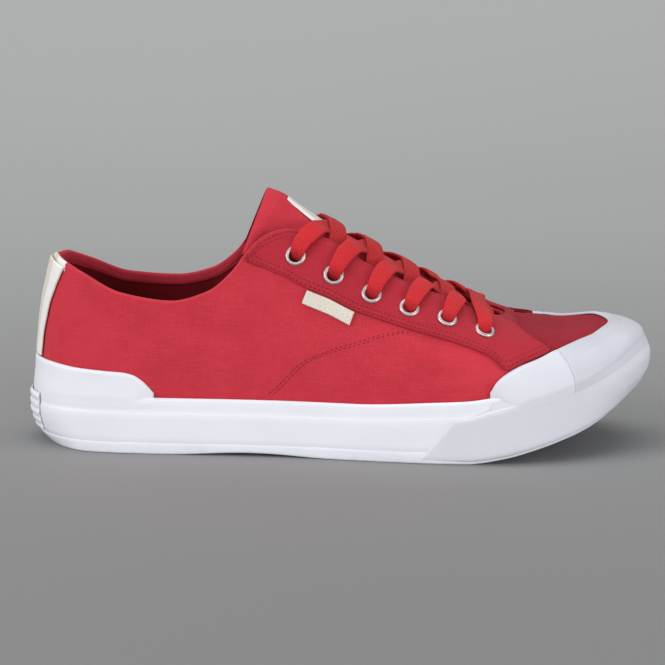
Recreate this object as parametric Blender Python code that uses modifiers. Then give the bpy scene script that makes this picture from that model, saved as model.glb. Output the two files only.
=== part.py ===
# A right skateboarding shoe of canvas and rubber, standing on its sole.
# +X points to the toe, +Y to the inner (medial) side and +Z up, in metres.
# The origin lies on the floor, under the middle of the heel's flat spot.

import math

import bmesh
import bpy
import numpy as np
from mathutils import Matrix, Vector

# Driving sizes

LENGTH = 0.298             # sidewall, heel to toe
BALL_WIDTH = 0.110         # sidewall, across the ball
COLLAR_HEIGHT = 0.090      # back of the collar above the floor
INSTEP_HEIGHT = 0.1058     # top of the eyelet row above the floor
TONGUE_HEIGHT = 0.1237     # top of the tongue above the floor
TOE_SPRING = 0.026         # rise of the sole at the tip of the toe
ARCH_GAP = 0.0015          # hollow under the waist of the sole

GAP = 0.0003               # between pieces that touch
FOOT_GAP = 0.0006          # between the upper and the sidewall round it
SKIN_GAP = 0.0005          # between the upper and what lies on it
OUTSOLE_THICK = 0.0055
OUTSOLE_PROUD = 0.0005     # outsole's step beyond the sidewall
SIDEWALL_HEIGHT = 0.027    # top of the sidewall above the tread
SIDEWALL_THICK = 0.0025
BAND_HEIGHT = 0.0075       # thin upper band of the sidewall
BAND_STEP = 0.0006         # how far the main band stands out from it
CUP_BASE = 0.012           # top of the foot base above the tread
TAPE_THICK = 0.0013        # toe tape
TAPE_FOOT = 0.0012         # its lower edge above the tread
TAPE_GAP = 0.0005          # between it and the sole
WALL = 0.0022              # canvas and lining of the upper
INSOLE_THICK = 0.004
INSOLE_PLAY = 0.0008       # between the insole and the upper
OVERLAY_THICK = 0.0012     # eyestay
RUBBER_THICK = 0.0015      # toe cap, side bumpers and heel guard
STRIP_THICK = 0.0010       # heel strip
PLATE_THICK = 0.0009
PLATE_WIDTH = 0.034
PLATE_BOTTOM = 0.007
TONGUE_THICK = 0.006
LABEL_THICK = 0.0008
LABEL_WIDTH = 0.024
TAG_LENGTH = 0.0225
TAG_HEIGHT = 0.0075
TAG_THICK = 0.0007
EYELETS = 6
EYELET_OUTER = 0.0100
EYELET_BORE = 0.0062
EYELET_THICK = 0.0009
LACE_WIDTH = 0.0078
LACE_THICK = 0.0014
LACE_HEIGHT = 0.0024       # lower strand's middle above the tongue
LACE_RUN = (0.74, 0.98)    # where a strand passes the crown and dives, as
                           # shares of the way to the next pair of eyelets

HEEL_REST = 0.15           # the origin's station, as a share of the length
STATIONS = 36              # stations along each side, for the rings
UPPER_ROWS = 8

# The plan of the sidewall. Stations are shares of the length, sides are
# shares of the ball width, outer side first and inner side second.
PLAN_TIP = 0.036
PLAN = (
    # station, outer, inner
    (0.020, 0.172, 0.172),
    (0.060, 0.268, 0.266),
    (0.120, 0.325, 0.315),
    (0.200, 0.352, 0.336),
    (0.320, 0.374, 0.324),
    (0.440, 0.412, 0.342),
    (0.560, 0.474, 0.408),
    (0.660, 0.512, 0.468),
    (0.740, 0.514, 0.490),
    (0.820, 0.470, 0.468),
    (0.890, 0.382, 0.410),
    (0.940, 0.284, 0.326),
    (0.980, 0.150, 0.208),
)

# Rise of the tread towards the toe, as a share of TOE_SPRING.
SPRING = (
    # station, rise
    (0.00, 0.00),
    (0.70, 0.00),
    (0.756, 0.08),
    (0.82, 0.26),
    (0.86, 0.40),
    (0.90, 0.56),
    (0.94, 0.75),
    (0.98, 0.97),
    (1.00, 1.04),
)
ARCH = (0.22, 0.50)        # stations between which the waist is hollow

# Top of the sidewall, as a share of SIDEWALL_HEIGHT.
SIDEWALL_TOP = (
    # station, height
    (0.00, 1.00),
    (0.52, 1.00),
    (0.66, 1.08),
    (0.74, 1.12),
    (0.85, 1.06),
    (1.00, 1.00),
)

# How far the sole draws in below and above its widest line, at the heel's
# back and at the toe's tip, as shares of the sidewall's height.
ENDS = (
    # height, heel, toe
    (0.00, 0.300, 0.222),
    (0.20, 0.125, 0.110),
    (0.37, 0.055, 0.030),
    (0.60, 0.000, 0.000),
    (0.80, 0.000, 0.060),
    (1.00, 0.000, 0.165),
)
HEEL_END = 0.10            # stations where the drawn-in ends fade out
TOE_END = 0.87

# The upper's sections. Each row is a section that starts at a station of
# the sidewall and ends at the upper's top edge: collar, eyestay or the
# front of the throat. Along is a share of LENGTH, across of BALL_WIDTH,
# height of INSTEP_HEIGHT or, at the collar's back, set by COLLAR_HEIGHT.
# Bulge is a share of BALL_WIDTH, rise and drop are shares of
# INSTEP_HEIGHT, and reach is a share of the run from top edge to side.
OUTER = (
    # station, along, across, height, bulge, rise, reach, drop
    (0.00, 0.037, 0.000, 0.851, 0.010, 0.21, 0.70, 0.19),
    (0.03, 0.050, -0.128, 0.841, 0.010, 0.21, 0.60, 0.19),
    (0.08, 0.091, -0.226, 0.788, 0.014, 0.19, 0.50, 0.18),
    (0.15, 0.151, -0.284, 0.713, 0.018, 0.18, 0.60, 0.16),
    (0.23, 0.232, -0.302, 0.680, 0.018, 0.17, 0.60, 0.15),
    (0.29, 0.289, -0.296, 0.722, 0.016, 0.18, 0.55, 0.17),
    (0.335, 0.329, -0.278, 0.813, 0.012, 0.20, 0.50, 0.20),
    (0.37, 0.353, -0.254, 0.900, 0.010, 0.22, 0.46, 0.22),
    (0.405, 0.382, -0.220, 0.974, 0.008, 0.24, 0.46, 0.17),
    (0.435, 0.418, -0.198, 1.000, 0.008, 0.26, 0.48, 0.12),
    (0.475, 0.472, -0.202, 0.965, 0.008, 0.27, 0.50, 0.10),
    (0.53, 0.529, -0.214, 0.866, 0.008, 0.25, 0.50, 0.08),
    (0.60, 0.596, -0.210, 0.770, 0.009, 0.21, 0.50, 0.06),
    (0.68, 0.672, -0.190, 0.684, 0.010, 0.18, 0.52, 0.05),
    (0.76, 0.724, -0.160, 0.618, 0.010, 0.152, 0.54, 0.05),
    (0.84, 0.750, -0.112, 0.589, 0.008, 0.122, 0.56, 0.05),
    (0.91, 0.761, -0.052, 0.580, 0.004, 0.10, 0.60, 0.05),
    (0.96, 0.765, -0.002, 0.580, 0.000, 0.08, 0.60, 0.08),
    (1.00, 0.766, 0.042, 0.580, 0.000, 0.07, 0.60, 0.08),
)
INNER = (
    (0.96, 0.765, 0.086, 0.580, 0.000, 0.125, 0.60, 0.085),
    (0.91, 0.759, 0.122, 0.580, 0.018, 0.14, 0.58, 0.085),
    (0.84, 0.747, 0.160, 0.586, 0.020, 0.20, 0.56, 0.085),
    (0.76, 0.722, 0.188, 0.618, 0.018, 0.225, 0.54, 0.05),
    (0.68, 0.670, 0.210, 0.686, 0.008, 0.225, 0.52, 0.05),
    (0.60, 0.596, 0.222, 0.770, 0.006, 0.23, 0.52, 0.06),
    (0.53, 0.529, 0.222, 0.866, 0.004, 0.26, 0.52, 0.08),
    (0.475, 0.472, 0.212, 0.965, 0.004, 0.28, 0.52, 0.10),
    (0.435, 0.418, 0.206, 1.000, 0.004, 0.27, 0.50, 0.12),
    (0.405, 0.382, 0.228, 0.974, 0.006, 0.25, 0.46, 0.17),
    (0.37, 0.353, 0.262, 0.900, 0.008, 0.22, 0.46, 0.22),
    (0.335, 0.329, 0.282, 0.813, 0.010, 0.20, 0.50, 0.20),
    (0.29, 0.289, 0.300, 0.732, 0.012, 0.18, 0.55, 0.17),
    (0.23, 0.232, 0.304, 0.698, 0.014, 0.17, 0.60, 0.15),
    (0.15, 0.151, 0.284, 0.718, 0.014, 0.18, 0.60, 0.16),
    (0.08, 0.091, 0.226, 0.788, 0.012, 0.19, 0.50, 0.18),
    (0.03, 0.050, 0.128, 0.841, 0.010, 0.21, 0.60, 0.19),
)
EYELET_LINE = (
    # along, girth
    (0.430, 0.775),
    (0.489, 0.705),
    (0.547, 0.700),
    (0.608, 0.696),
    (0.668, 0.700),
    (0.729, 0.675),
)

# Lines on the upper. A place on its surface is a station of the sidewall and
# a share of the upper's girth from the sidewall (0) to the top edge (1).
# The eyestay is ruled between its seam and the upper's top edge.
EYESTAY = (
    # seam station, seam girth outer, seam girth inner, top edge station
    (0.366, 0.960, 0.960, 0.366),
    (0.379, 0.890, 0.890, 0.387),
    (0.415, 0.700, 0.700, 0.420),
    (0.451, 0.585, 0.600, 0.455),
    (0.520, 0.540, 0.560, 0.520),
    (0.582, 0.530, 0.550, 0.582),
    (0.642, 0.510, 0.540, 0.642),
    (0.705, 0.470, 0.520, 0.700),
    (0.738, 0.405, 0.510, 0.735),
    (0.752, 0.340, 0.505, 0.750),
    (0.769, 0.245, 0.505, 0.772),
    (0.800, 0.305, 0.535, 0.800),
    (0.832, 0.355, 0.532, 0.822),
    (0.857, 0.405, 0.520, 0.840),
    (0.850, 0.510, 0.575, 0.855),
    (0.843, 0.610, 0.620, 0.870),
    (0.844, 0.700, 0.710, 0.886),
    (0.855, 0.785, 0.790, 0.905),
    (0.880, 0.850, 0.860, 0.930),
    (0.930, 0.920, 0.925, 0.965),
    (1.000, 0.950, 0.950, 1.000),
)
RUBBER = (
    # station, outer, inner: upper edge of toe cap and side bumpers
    (0.722, 0.010, 0.050),
    (0.735, 0.030, 0.190),
    (0.749, 0.135, 0.335),
    (0.768, 0.215, 0.460),
    (0.786, 0.265, 0.500),
    (0.824, 0.325, 0.500),
    (0.859, 0.380, 0.480),
    (0.911, 0.420, 0.450),
    (0.955, 0.405, 0.410),
    (1.000, 0.390, 0.390),
)
RUBBER_ENDS = (0.738, 0.722)    # back tips of the bumpers, outer and inner
RUBBER_JOINT = 0.868            # where the toe cap meets the bumpers
GUARD = (
    # station, girth: upper edge of the heel guard
    (0.000, 0.225),
    (0.052, 0.217),
    (0.101, 0.220),
    (0.150, 0.222),
    (0.170, 0.205),
    (0.186, 0.150),
    (0.198, 0.080),
    (0.204, 0.040),
)
STRIP = (
    # girth, station: front edges of the heel strip
    (0.235, 0.011),
    (0.420, 0.013),
    (0.645, 0.020),
    (0.820, 0.034),
    (0.980, 0.047),
)
TAG_STATION = 0.487             # middle of the side tag, at the seam
TAG_LEAN = 0.008                # how far its hem lies behind, as a station

# The toe tape's top, as a share of SIDEWALL_HEIGHT, and its slanted ends.
TAPE_TOP = (
    # station, height
    (0.60, 0.70),
    (0.68, 0.78),
    (0.74, 0.92),
    (0.80, 0.98),
    (1.00, 0.98),
)
TAPE_ENDS = (0.625, 0.680)      # stations at the tread and at the top

# The tongue from its foot to its top. Station is a share of LENGTH, height
# of TONGUE_HEIGHT, side, half width and depth of BALL_WIDTH, and spread is
# the half angle of its arched section in radians. Upright turns its flanks
# from square to its slope (0) to plumb (1). Body is a share of TONGUE_THICK.
TONGUE = (
    # station, height, side, half, depth, spread, upright, body
    (0.775, 0.462, 0.044, 0.330, 0.330, 0.36, 0.00, 0.60),
    (0.727, 0.512, 0.036, 0.280, 0.280, 0.66, 0.00, 0.70),
    (0.644, 0.622, 0.026, 0.262, 0.262, 0.88, 0.00, 0.80),
    (0.582, 0.710, 0.018, 0.248, 0.248, 1.02, 0.00, 0.90),
    (0.530, 0.780, 0.012, 0.226, 0.230, 1.18, 0.00, 0.90),
    (0.478, 0.848, 0.006, 0.194, 0.232, 1.34, 0.00, 0.90),
    (0.440, 0.910, 0.002, 0.176, 0.262, 1.44, 0.08, 0.90),
    (0.405, 0.970, 0.000, 0.172, 0.300, 1.48, 0.18, 0.75),
    (0.383, 1.000, 0.000, 0.172, 0.330, 1.48, 0.28, 0.45),
)
LABEL_ALONG = (0.665, 0.835)    # shares of the tongue, foot to top
LABEL_SIDE = 0.16               # how far it sits to the inner side, radians


# Small helpers

def hermite(knots, values, at):
    """Monotone cubic curve through the rows, read at the given places."""
    knots = np.asarray(knots, float)
    values = np.asarray(values, float)
    at = np.clip(np.asarray(at, float), knots[0], knots[-1])
    step = np.diff(knots)
    slope = np.diff(values) / step
    tangent = np.zeros(len(knots))
    tangent[0], tangent[-1] = slope[0], slope[-1]
    same = slope[:-1] * slope[1:] > 0
    inner = np.zeros(len(slope) - 1)
    inner[same] = 2 / (1 / slope[:-1][same] + 1 / slope[1:][same])
    tangent[1:-1] = inner
    cell = np.clip(np.searchsorted(knots, at, side="right") - 1, 0,
                   len(step) - 1)
    t = (at - knots[cell]) / step[cell]
    return (values[cell] * (2 * t**3 - 3 * t**2 + 1)
            + tangent[cell] * step[cell] * (t**3 - 2 * t**2 + t)
            + values[cell + 1] * (3 * t**2 - 2 * t**3)
            + tangent[cell + 1] * step[cell] * (t**3 - t**2))


def closed_spline(points, count):
    """Smooth closed curve through the points (centripetal chord cubic)."""
    points = np.asarray(points, float)
    n = len(points)
    chord = np.sqrt(np.linalg.norm(np.roll(points, -1, 0) - points, axis=1))
    matrix = np.zeros((n, n))
    right = np.zeros((n, 2))
    for i in range(n):
        before, after = chord[i - 1], chord[i]
        matrix[i, i - 1] += 1 / before
        matrix[i, i] += 2 / before + 2 / after
        matrix[i, (i + 1) % n] += 1 / after
        right[i] = (3 * (points[i] - points[i - 1]) / before**2
                    + 3 * (points[(i + 1) % n] - points[i]) / after**2)
    tangent = np.linalg.solve(matrix, right)
    result = []
    for i in range(n):
        j = (i + 1) % n
        t = np.linspace(0, 1, count, endpoint=False)[:, None]
        result.append(points[i] * (2 * t**3 - 3 * t**2 + 1)
                      + tangent[i] * chord[i] * (t**3 - 2 * t**2 + t)
                      + points[j] * (3 * t**2 - 2 * t**3)
                      + tangent[j] * chord[i] * (t**3 - t**2))
    return np.vstack(result)


def fade(value, start, end):
    """Smooth step from 0 at start to 1 at end."""
    t = np.clip((np.asarray(value, float) - start) / (end - start), 0, 1)
    return t * t * (3 - 2 * t)


# The plan outline, with outer and inner branches

def plan_branches():
    points = [(0.0, 0.0)]
    points += [(row[0] * LENGTH, -row[1] * BALL_WIDTH) for row in PLAN]
    points += [(LENGTH, PLAN_TIP * BALL_WIDTH)]
    points += [(row[0] * LENGTH, row[2] * BALL_WIDTH)
               for row in reversed(PLAN)]
    curve = closed_spline(points, 40)
    heel, toe = int(curve[:, 0].argmin()), int(curve[:, 0].argmax())
    curve = np.roll(curve, -heel, 0)
    toe = (toe - heel) % len(curve)
    return curve[:toe + 1], np.vstack([curve[toe:], curve[:1]])[::-1]


OUTER_SIDE, INNER_SIDE = plan_branches()


def side_shares():
    """Share of the way round the outer side, for each station."""
    steps = np.linalg.norm(np.diff(OUTER_SIDE, axis=0), axis=1)
    way = np.concatenate([[0], np.cumsum(steps)])
    return way / way[-1], (OUTER_SIDE[:, 0] - OUTER_SIDE[0, 0]) / (
        OUTER_SIDE[-1, 0] - OUTER_SIDE[0, 0])


WAY, WAY_STATION = side_shares()


def station_of(u):
    """Station at ring place u: 0 heel, 0.5 toe, 1 heel again."""
    u = np.mod(u, 1.0)
    return np.interp(np.where(u <= 0.5, 2 * u, 2 - 2 * u), WAY, WAY_STATION)


def place_of(station, inner=False):
    """Ring place u of a station on the outer or the inner side."""
    half = np.interp(station, WAY_STATION, WAY) / 2
    return 1 - half if inner else half


def plan_point(u):
    """Plan position for ring places."""
    u = np.mod(np.asarray(u, float), 1.0)
    reach = station_of(u)
    x_outer = OUTER_SIDE[0, 0] + reach * (OUTER_SIDE[-1, 0]
                                          - OUTER_SIDE[0, 0])
    way = np.where(u <= 0.5, 2 * u, 2 - 2 * u)
    y_outer = np.interp(way, WAY, OUTER_SIDE[:, 1])
    y_inner = np.interp(x_outer, INNER_SIDE[:, 0], INNER_SIDE[:, 1])
    return x_outer, np.where(u <= 0.5, y_outer, y_inner)


def outline(u, inset):
    """Plan position moved in by inset, with x from the heel's back."""
    u = np.asarray(u, float)
    small = 0.004
    ax, ay = plan_point(u - small)
    bx, by = plan_point(u + small)
    x, y = plan_point(u)
    size = np.hypot(bx - ax, by - ay)
    out_x, out_y = (by - ay) / size, -(bx - ax) / size
    return x - out_x * inset, y - out_y * inset, out_x, out_y


def to_world(station_x):
    return station_x - HEEL_REST * LENGTH


def spring(station):
    rows = np.array(SPRING)
    return TOE_SPRING * hermite(rows[:, 0], rows[:, 1], station)


def arch(station):
    t = np.clip((np.asarray(station) - ARCH[0]) / (ARCH[1] - ARCH[0]), 0, 1)
    return ARCH_GAP * np.sin(math.pi * t) ** 2


def wall_top(station):
    rows = np.array(SIDEWALL_TOP)
    return SIDEWALL_HEIGHT * hermite(rows[:, 0], rows[:, 1], station)


def end_inset(station, height):
    """How far the sole draws in at its two ends, at a height."""
    rows = np.array(ENDS)
    share = np.asarray(height) / wall_top(station)
    heel = hermite(rows[:, 0], rows[:, 1], share) * SIDEWALL_HEIGHT
    toe = hermite(rows[:, 0], rows[:, 2], share) * SIDEWALL_HEIGHT
    return (heel * (1 - fade(station, 0.0, HEEL_END))
            + toe * fade(station, TOE_END, 1.0))


def sole_ring(u, height, inset, hollow=False):
    """Points round the sole at a height above the tread."""
    u = np.asarray(u, float)
    station = station_of(u)
    height = height + np.zeros_like(station)
    x, y, _, _ = outline(u, inset + end_inset(station, height))
    z = spring(station) + height + (arch(station) if hollow else 0)
    return np.stack([to_world(x), y, z], -1)


# The upper's surface

def section_table():
    rows = list(OUTER) + list(INNER) + [OUTER[0]]
    places = ([float(place_of(row[0])) for row in OUTER]
              + [float(place_of(row[0], True)) for row in INNER] + [1.0])
    return np.array(places), np.array(rows, float)


SECTION_PLACES, SECTIONS = section_table()


def column(u, index):
    return hermite(SECTION_PLACES, SECTIONS[:, index], np.mod(u, 1.0))


def foot_inset():
    return SIDEWALL_THICK + BAND_STEP + FOOT_GAP


def skin(u, v):
    """The upper's outer surface: v is 0 at the sidewall's top, 1 at the
    upper's top edge, and -1 at the bottom inside the sidewall."""
    u, v = np.broadcast_arrays(np.asarray(u, float), np.asarray(v, float))
    station = station_of(u)
    top = wall_top(station)
    base = CUP_BASE + GAP
    low = np.clip(-v, 0, 1)
    height = top + (base - top) * low
    foot = sole_ring(u, height, foot_inset())
    up = np.clip(v, 0, 1)[..., None]
    start = sole_ring(u, top, foot_inset())
    _, _, out_x, out_y = outline(u, 0.0)
    out = np.stack([out_x, out_y, np.zeros_like(out_x)], -1)
    collar = 1 - fade(station, 0.0, 0.2)
    high = INSTEP_HEIGHT * column(u, 3)
    high = high + (COLLAR_HEIGHT - INSTEP_HEIGHT * OUTER[0][3]) * collar
    end = np.stack([to_world(LENGTH * column(u, 1)),
                    BALL_WIDTH * column(u, 2), high], -1)
    lift = np.array([0.0, 0.0, 1.0])
    first = (start + out * (BALL_WIDTH * column(u, 4))[..., None]
             + lift * (INSTEP_HEIGHT * column(u, 5))[..., None])
    run = start - end
    run = run * np.array([1.0, 1.0, 0.0])
    last = (end + run * column(u, 6)[..., None]
            - lift * (INSTEP_HEIGHT * column(u, 7))[..., None])
    curve = (start * (1 - up)**3 + first * 3 * up * (1 - up)**2
             + last * 3 * up**2 * (1 - up) + end * up**3)
    return np.where((v < 0)[..., None], foot, curve)


def skin_normal(u, v):
    """Outward normal of the upper's surface."""
    u, v = np.broadcast_arrays(np.asarray(u, float), np.asarray(v, float))
    v = np.clip(v, 0.0, 1.0)
    du, dv = 0.003, 0.01
    along = skin(u + du, v) - skin(u - du, v)
    up = (skin(u, np.minimum(v + dv, 1.0)) - skin(u, np.maximum(v - dv, 0)))
    normal = np.cross(along, up)
    return normal / np.linalg.norm(normal, axis=-1, keepdims=True)


def lifted(u, v, lift):
    return skin(u, v) + skin_normal(u, v) * lift


def side_value(table, u, column_pair=(1, 2)):
    """Value of an outer and inner table at ring places."""
    rows = np.array(table, float)
    station = station_of(u)
    outer = hermite(rows[:, 0], rows[:, column_pair[0]], station)
    inner = hermite(rows[:, 0], rows[:, column_pair[1]], station)
    return np.where(np.mod(u, 1.0) <= 0.5, outer, inner)


# Making objects

for old in list(bpy.data.objects):
    bpy.data.objects.remove(old, do_unlink=True)

SHOE = bpy.data.collections.new("skate_shoe")
CUTTERS = bpy.data.collections.new("cutters")
bpy.context.scene.collection.children.link(SHOE)
bpy.context.scene.collection.children.link(CUTTERS)


def material(name, colour, roughness, metallic=0.0):
    made = bpy.data.materials.new(name)
    made.use_nodes = True
    shader = made.node_tree.nodes["Principled BSDF"]
    shader.inputs["Base Color"].default_value = (*colour, 1.0)
    shader.inputs["Roughness"].default_value = roughness
    shader.inputs["Metallic"].default_value = metallic
    return made


CANVAS = material("canvas", (0.50, 0.035, 0.055), 0.9)
LINING = material("lining", (0.13, 0.008, 0.014), 0.9)
LACE = material("lace", (0.55, 0.020, 0.035), 0.85)
RUBBER_WHITE = material("rubber_white", (0.74, 0.75, 0.82), 0.5)
RUBBER_SOLE = material("rubber_sole", (0.74, 0.75, 0.82), 0.55)
CREAM = material("cream", (0.78, 0.72, 0.62), 0.8)
METAL = material("metal", (0.75, 0.66, 0.66), 0.3, 1.0)
FOAM = material("foam", (0.35, 0.03, 0.05), 0.9)


def finish(name, mesh_data, look, collection=SHOE):
    mesh = bpy.data.meshes.new(name)
    mesh_data.to_mesh(mesh)
    mesh_data.free()
    mesh.materials.append(look)
    made = bpy.data.objects.new(name, mesh)
    collection.objects.link(made)
    mesh.shade_smooth()
    mesh.set_sharp_from_angle(angle=math.radians(40))
    return made


def face_out(mesh_data):
    bmesh.ops.recalc_face_normals(mesh_data, faces=mesh_data.faces)


def add_rings(mesh_data, rings, closed=True):
    """Quads between successive rings of points."""
    verts = [[mesh_data.verts.new(point) for point in ring] for ring in rings]
    count = len(verts[0])
    for low, high in zip(verts, verts[1:]):
        for i in range(count if closed else count - 1):
            j = (i + 1) % count
            mesh_data.faces.new((low[i], low[j], high[j], high[i]))
    return verts


def add_cap(mesh_data, ring):
    """Strips across a closed ring, from the outer side to the inner."""
    count = len(ring)
    half = count // 2
    mesh_data.faces.new((ring[0], ring[1], ring[count - 1]))
    for i in range(1, half - 1):
        mesh_data.faces.new((ring[i], ring[i + 1], ring[count - i - 1],
                             ring[count - i]))
    mesh_data.faces.new((ring[half - 1], ring[half], ring[half + 1]))


def add_block(mesh_data, low, high):
    """Closed block between two grids of points of the same size."""
    rows, columns = len(low), len(low[0])
    a = [[mesh_data.verts.new(p) for p in row] for row in low]
    b = [[mesh_data.verts.new(p) for p in row] for row in high]
    for grid in (a, b):
        for r in range(rows - 1):
            for c in range(columns - 1):
                mesh_data.faces.new((grid[r][c], grid[r][c + 1],
                                     grid[r + 1][c + 1], grid[r + 1][c]))
    edge = ([(0, c) for c in range(columns)]
            + [(r, columns - 1) for r in range(1, rows)]
            + [(rows - 1, c) for c in range(columns - 2, -1, -1)]
            + [(r, 0) for r in range(rows - 2, 0, -1)])
    for (r, c), (s, d) in zip(edge, edge[1:] + edge[:1]):
        mesh_data.faces.new((a[r][c], a[s][d], b[s][d], b[r][c]))


RING = np.arange(2 * STATIONS) / (2 * STATIONS)


def stacked(name, rings, look, caps=True):
    mesh_data = bmesh.new()
    verts = add_rings(mesh_data, rings)
    if caps:
        add_cap(mesh_data, verts[0])
        add_cap(mesh_data, verts[-1])
    face_out(mesh_data)
    return finish(name, mesh_data, look)


# Outsole, sole cup and insole

top_of_outsole = OUTSOLE_THICK
stacked("outsole", [
    sole_ring(RING, 0.0, 0.0010 - OUTSOLE_PROUD, True),
    sole_ring(RING, 0.0010, -OUTSOLE_PROUD, True),
    sole_ring(RING, top_of_outsole, -OUTSOLE_PROUD),
], RUBBER_SOLE)

ring_station = station_of(RING)
rim = wall_top(ring_station)
band = rim - BAND_HEIGHT
stacked("sole_cup", [
    sole_ring(RING, top_of_outsole + GAP, 0.0),
    sole_ring(RING, (top_of_outsole + band) / 2, 0.0),
    sole_ring(RING, band, 0.0),
    sole_ring(RING, band + BAND_STEP, BAND_STEP),
    sole_ring(RING, rim - 0.0006, BAND_STEP),
    sole_ring(RING, rim, BAND_STEP + 0.0006),
    sole_ring(RING, rim, BAND_STEP + SIDEWALL_THICK),
    sole_ring(RING, (rim + CUP_BASE) / 2, BAND_STEP + SIDEWALL_THICK),
    sole_ring(RING, CUP_BASE, BAND_STEP + SIDEWALL_THICK),
], RUBBER_WHITE)

insole_inset = foot_inset() + WALL + INSOLE_PLAY
stacked("insole", [
    sole_ring(RING, CUP_BASE + GAP, insole_inset),
    sole_ring(RING, CUP_BASE + GAP + INSOLE_THICK, insole_inset),
], FOAM)

# Upper: an open skin with its wall inside

mesh_data = bmesh.new()
levels = [-1.0, -0.5, 0.0] + [
    (i + 1) / UPPER_ROWS for i in range(UPPER_ROWS)]
add_rings(mesh_data, [skin(RING, np.full(len(RING), v)) for v in levels])
face_out(mesh_data)
upper = finish("upper", mesh_data, CANVAS)
shell = upper.modifiers.new("wall", "SOLIDIFY")
shell.thickness = WALL
shell.offset = -1.0
shell.use_even_offset = False


# Pieces that lie on the upper

def patch(name, u, v, lift, thick, look):
    """Closed sheet over a grid of places on the upper's surface."""
    mesh_data = bmesh.new()
    add_block(mesh_data, lifted(u, v, lift), lifted(u, v, lift + thick))
    face_out(mesh_data)
    return finish(name, mesh_data, look)


def spread_rows(u, low, high, rows):
    """Grid of places between two girth lines over the same ring places."""
    share = np.linspace(0, 1, rows)[:, None]
    return (np.broadcast_to(u, (rows, len(u))),
            low + (high - low) * share)


def round_toe(start_outer, start_inner, count):
    """Ring places from the outer side round the toe to the inner side."""
    return np.linspace(place_of(start_outer), place_of(start_inner, True),
                       count)


def girth_down(u, v, distance):
    """Girth share at a distance down the surface from a share."""
    steps = np.linspace(v, max(v - 0.7, 0.0), 60)
    points = skin(np.full(60, u), steps)
    way = np.concatenate([[0], np.cumsum(
        np.linalg.norm(np.diff(points, axis=0), axis=1))])
    return float(np.interp(distance, way, steps))


FOOT_LINE = 0.022          # overlays start this far up, clear of the rim

u = round_toe(RUBBER_JOINT + 0.002, RUBBER_JOINT + 0.002, 20)
patch("toe_cap", *spread_rows(u, FOOT_LINE, side_value(RUBBER, u), 4),
      SKIN_GAP, RUBBER_THICK, RUBBER_WHITE)
for name, inner in (("side_bumper_lateral", False),
                    ("side_bumper_medial", True)):
    start, end = (place_of(RUBBER_ENDS[inner], inner),
                  place_of(RUBBER_JOINT, inner))
    u = start + (end - start) * np.linspace(0, 1, 10)**1.25
    patch(name, *spread_rows(u, FOOT_LINE, side_value(RUBBER, u), 4 + inner),
          SKIN_GAP, RUBBER_THICK, RUBBER_WHITE)

rows = np.array(GUARD)
u = np.linspace(-place_of(rows[-1, 0]), place_of(rows[-1, 0]), 23)
guard_top = hermite(rows[:, 0], rows[:, 1], station_of(u))
patch("heel_guard", *spread_rows(u, FOOT_LINE, guard_top, 3),
      SKIN_GAP, RUBBER_THICK, RUBBER_WHITE)

rows = np.array(STRIP)
v = np.linspace(rows[0, 0], rows[-1, 0], 9)
edge = place_of(hermite(rows[:, 0], rows[:, 1], v))
share = np.linspace(-1, 1, 7)
patch("heel_strip", edge[:, None] * share, v[:, None] + 0 * share,
      SKIN_GAP * 1.6, STRIP_THICK, CREAM)

# Eyestay: from its outer end round the throat to its inner end


def eyestay_grid(per_row, rows):
    table = np.array(EYESTAY)
    knots = np.arange(len(table), dtype=float)
    at = np.linspace(0, knots[-1], (len(table) - 1) * per_row + 1)
    low_u = place_of(hermite(knots, table[:, 0], at))
    top_u = place_of(hermite(knots, table[:, 3], at))
    low = np.concatenate([low_u, 1 - low_u[-2::-1]])
    top = np.concatenate([top_u, 1 - top_u[-2::-1]])
    low_v = np.concatenate([hermite(knots, table[:, 1], at),
                            hermite(knots, table[:, 2], at)[-2::-1]])
    top_v = 0.993
    share = np.linspace(0, 1, rows)[:, None]
    return low + (top - low) * share, low_v + (top_v - low_v) * share


patch_u, patch_v = eyestay_grid(2, 5)
eyestay = patch("eyestay", patch_u, patch_v, SKIN_GAP, OVERLAY_THICK, CANVAS)

# Side tag, hung from the seam on the outer side

tag_rows = np.array(EYESTAY)[:9]
tag_run = TAG_LENGTH / 2 / LENGTH * 0.94
seam_u = np.linspace(place_of(TAG_STATION - tag_run),
                     place_of(TAG_STATION + tag_run), 6)
hem_u = place_of(station_of(seam_u) - TAG_LEAN)
seam, hem = [hermite(tag_rows[:, 0], tag_rows[:, 1], station_of(u)) - 0.008
             for u in (seam_u, hem_u)]
hem = np.array([girth_down(a, b, TAG_HEIGHT) for a, b in zip(hem_u, hem)])
share = np.linspace(0, 1, 3)[:, None]
patch("side_tag", hem_u + (seam_u - hem_u) * share,
      hem + (seam - hem) * share, SKIN_GAP, TAG_THICK, CREAM)


# Eyelets, set through the eyestay and the upper

def eyelet_places(inner):
    """Ring place and girth share of the middle of each eyelet."""
    rows = np.array(EYELET_LINE)
    ring = place_of(np.linspace(0.40, 0.80, 81), inner)
    places = []
    for along in np.linspace(rows[0, 0], rows[-1, 0], EYELETS):
        v = float(hermite(rows[:, 0], rows[:, 1], along))
        x = skin(ring, v)[:, 0]
        places.append((float(np.interp(to_world(along * LENGTH), x, ring)),
                       v))
    return places


def frame_at(u, v, lift):
    """Matrix at a place on the upper, with Z along its normal."""
    point = Vector(lifted(u, v, lift))
    normal = Vector(skin_normal(u, v))
    along = Vector((1.0, 0.0, 0.0))
    side = normal.cross(along).normalized()
    along = side.cross(normal)
    matrix = Matrix((along, side, normal)).transposed().to_4x4()
    matrix.translation = point
    return matrix


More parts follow.
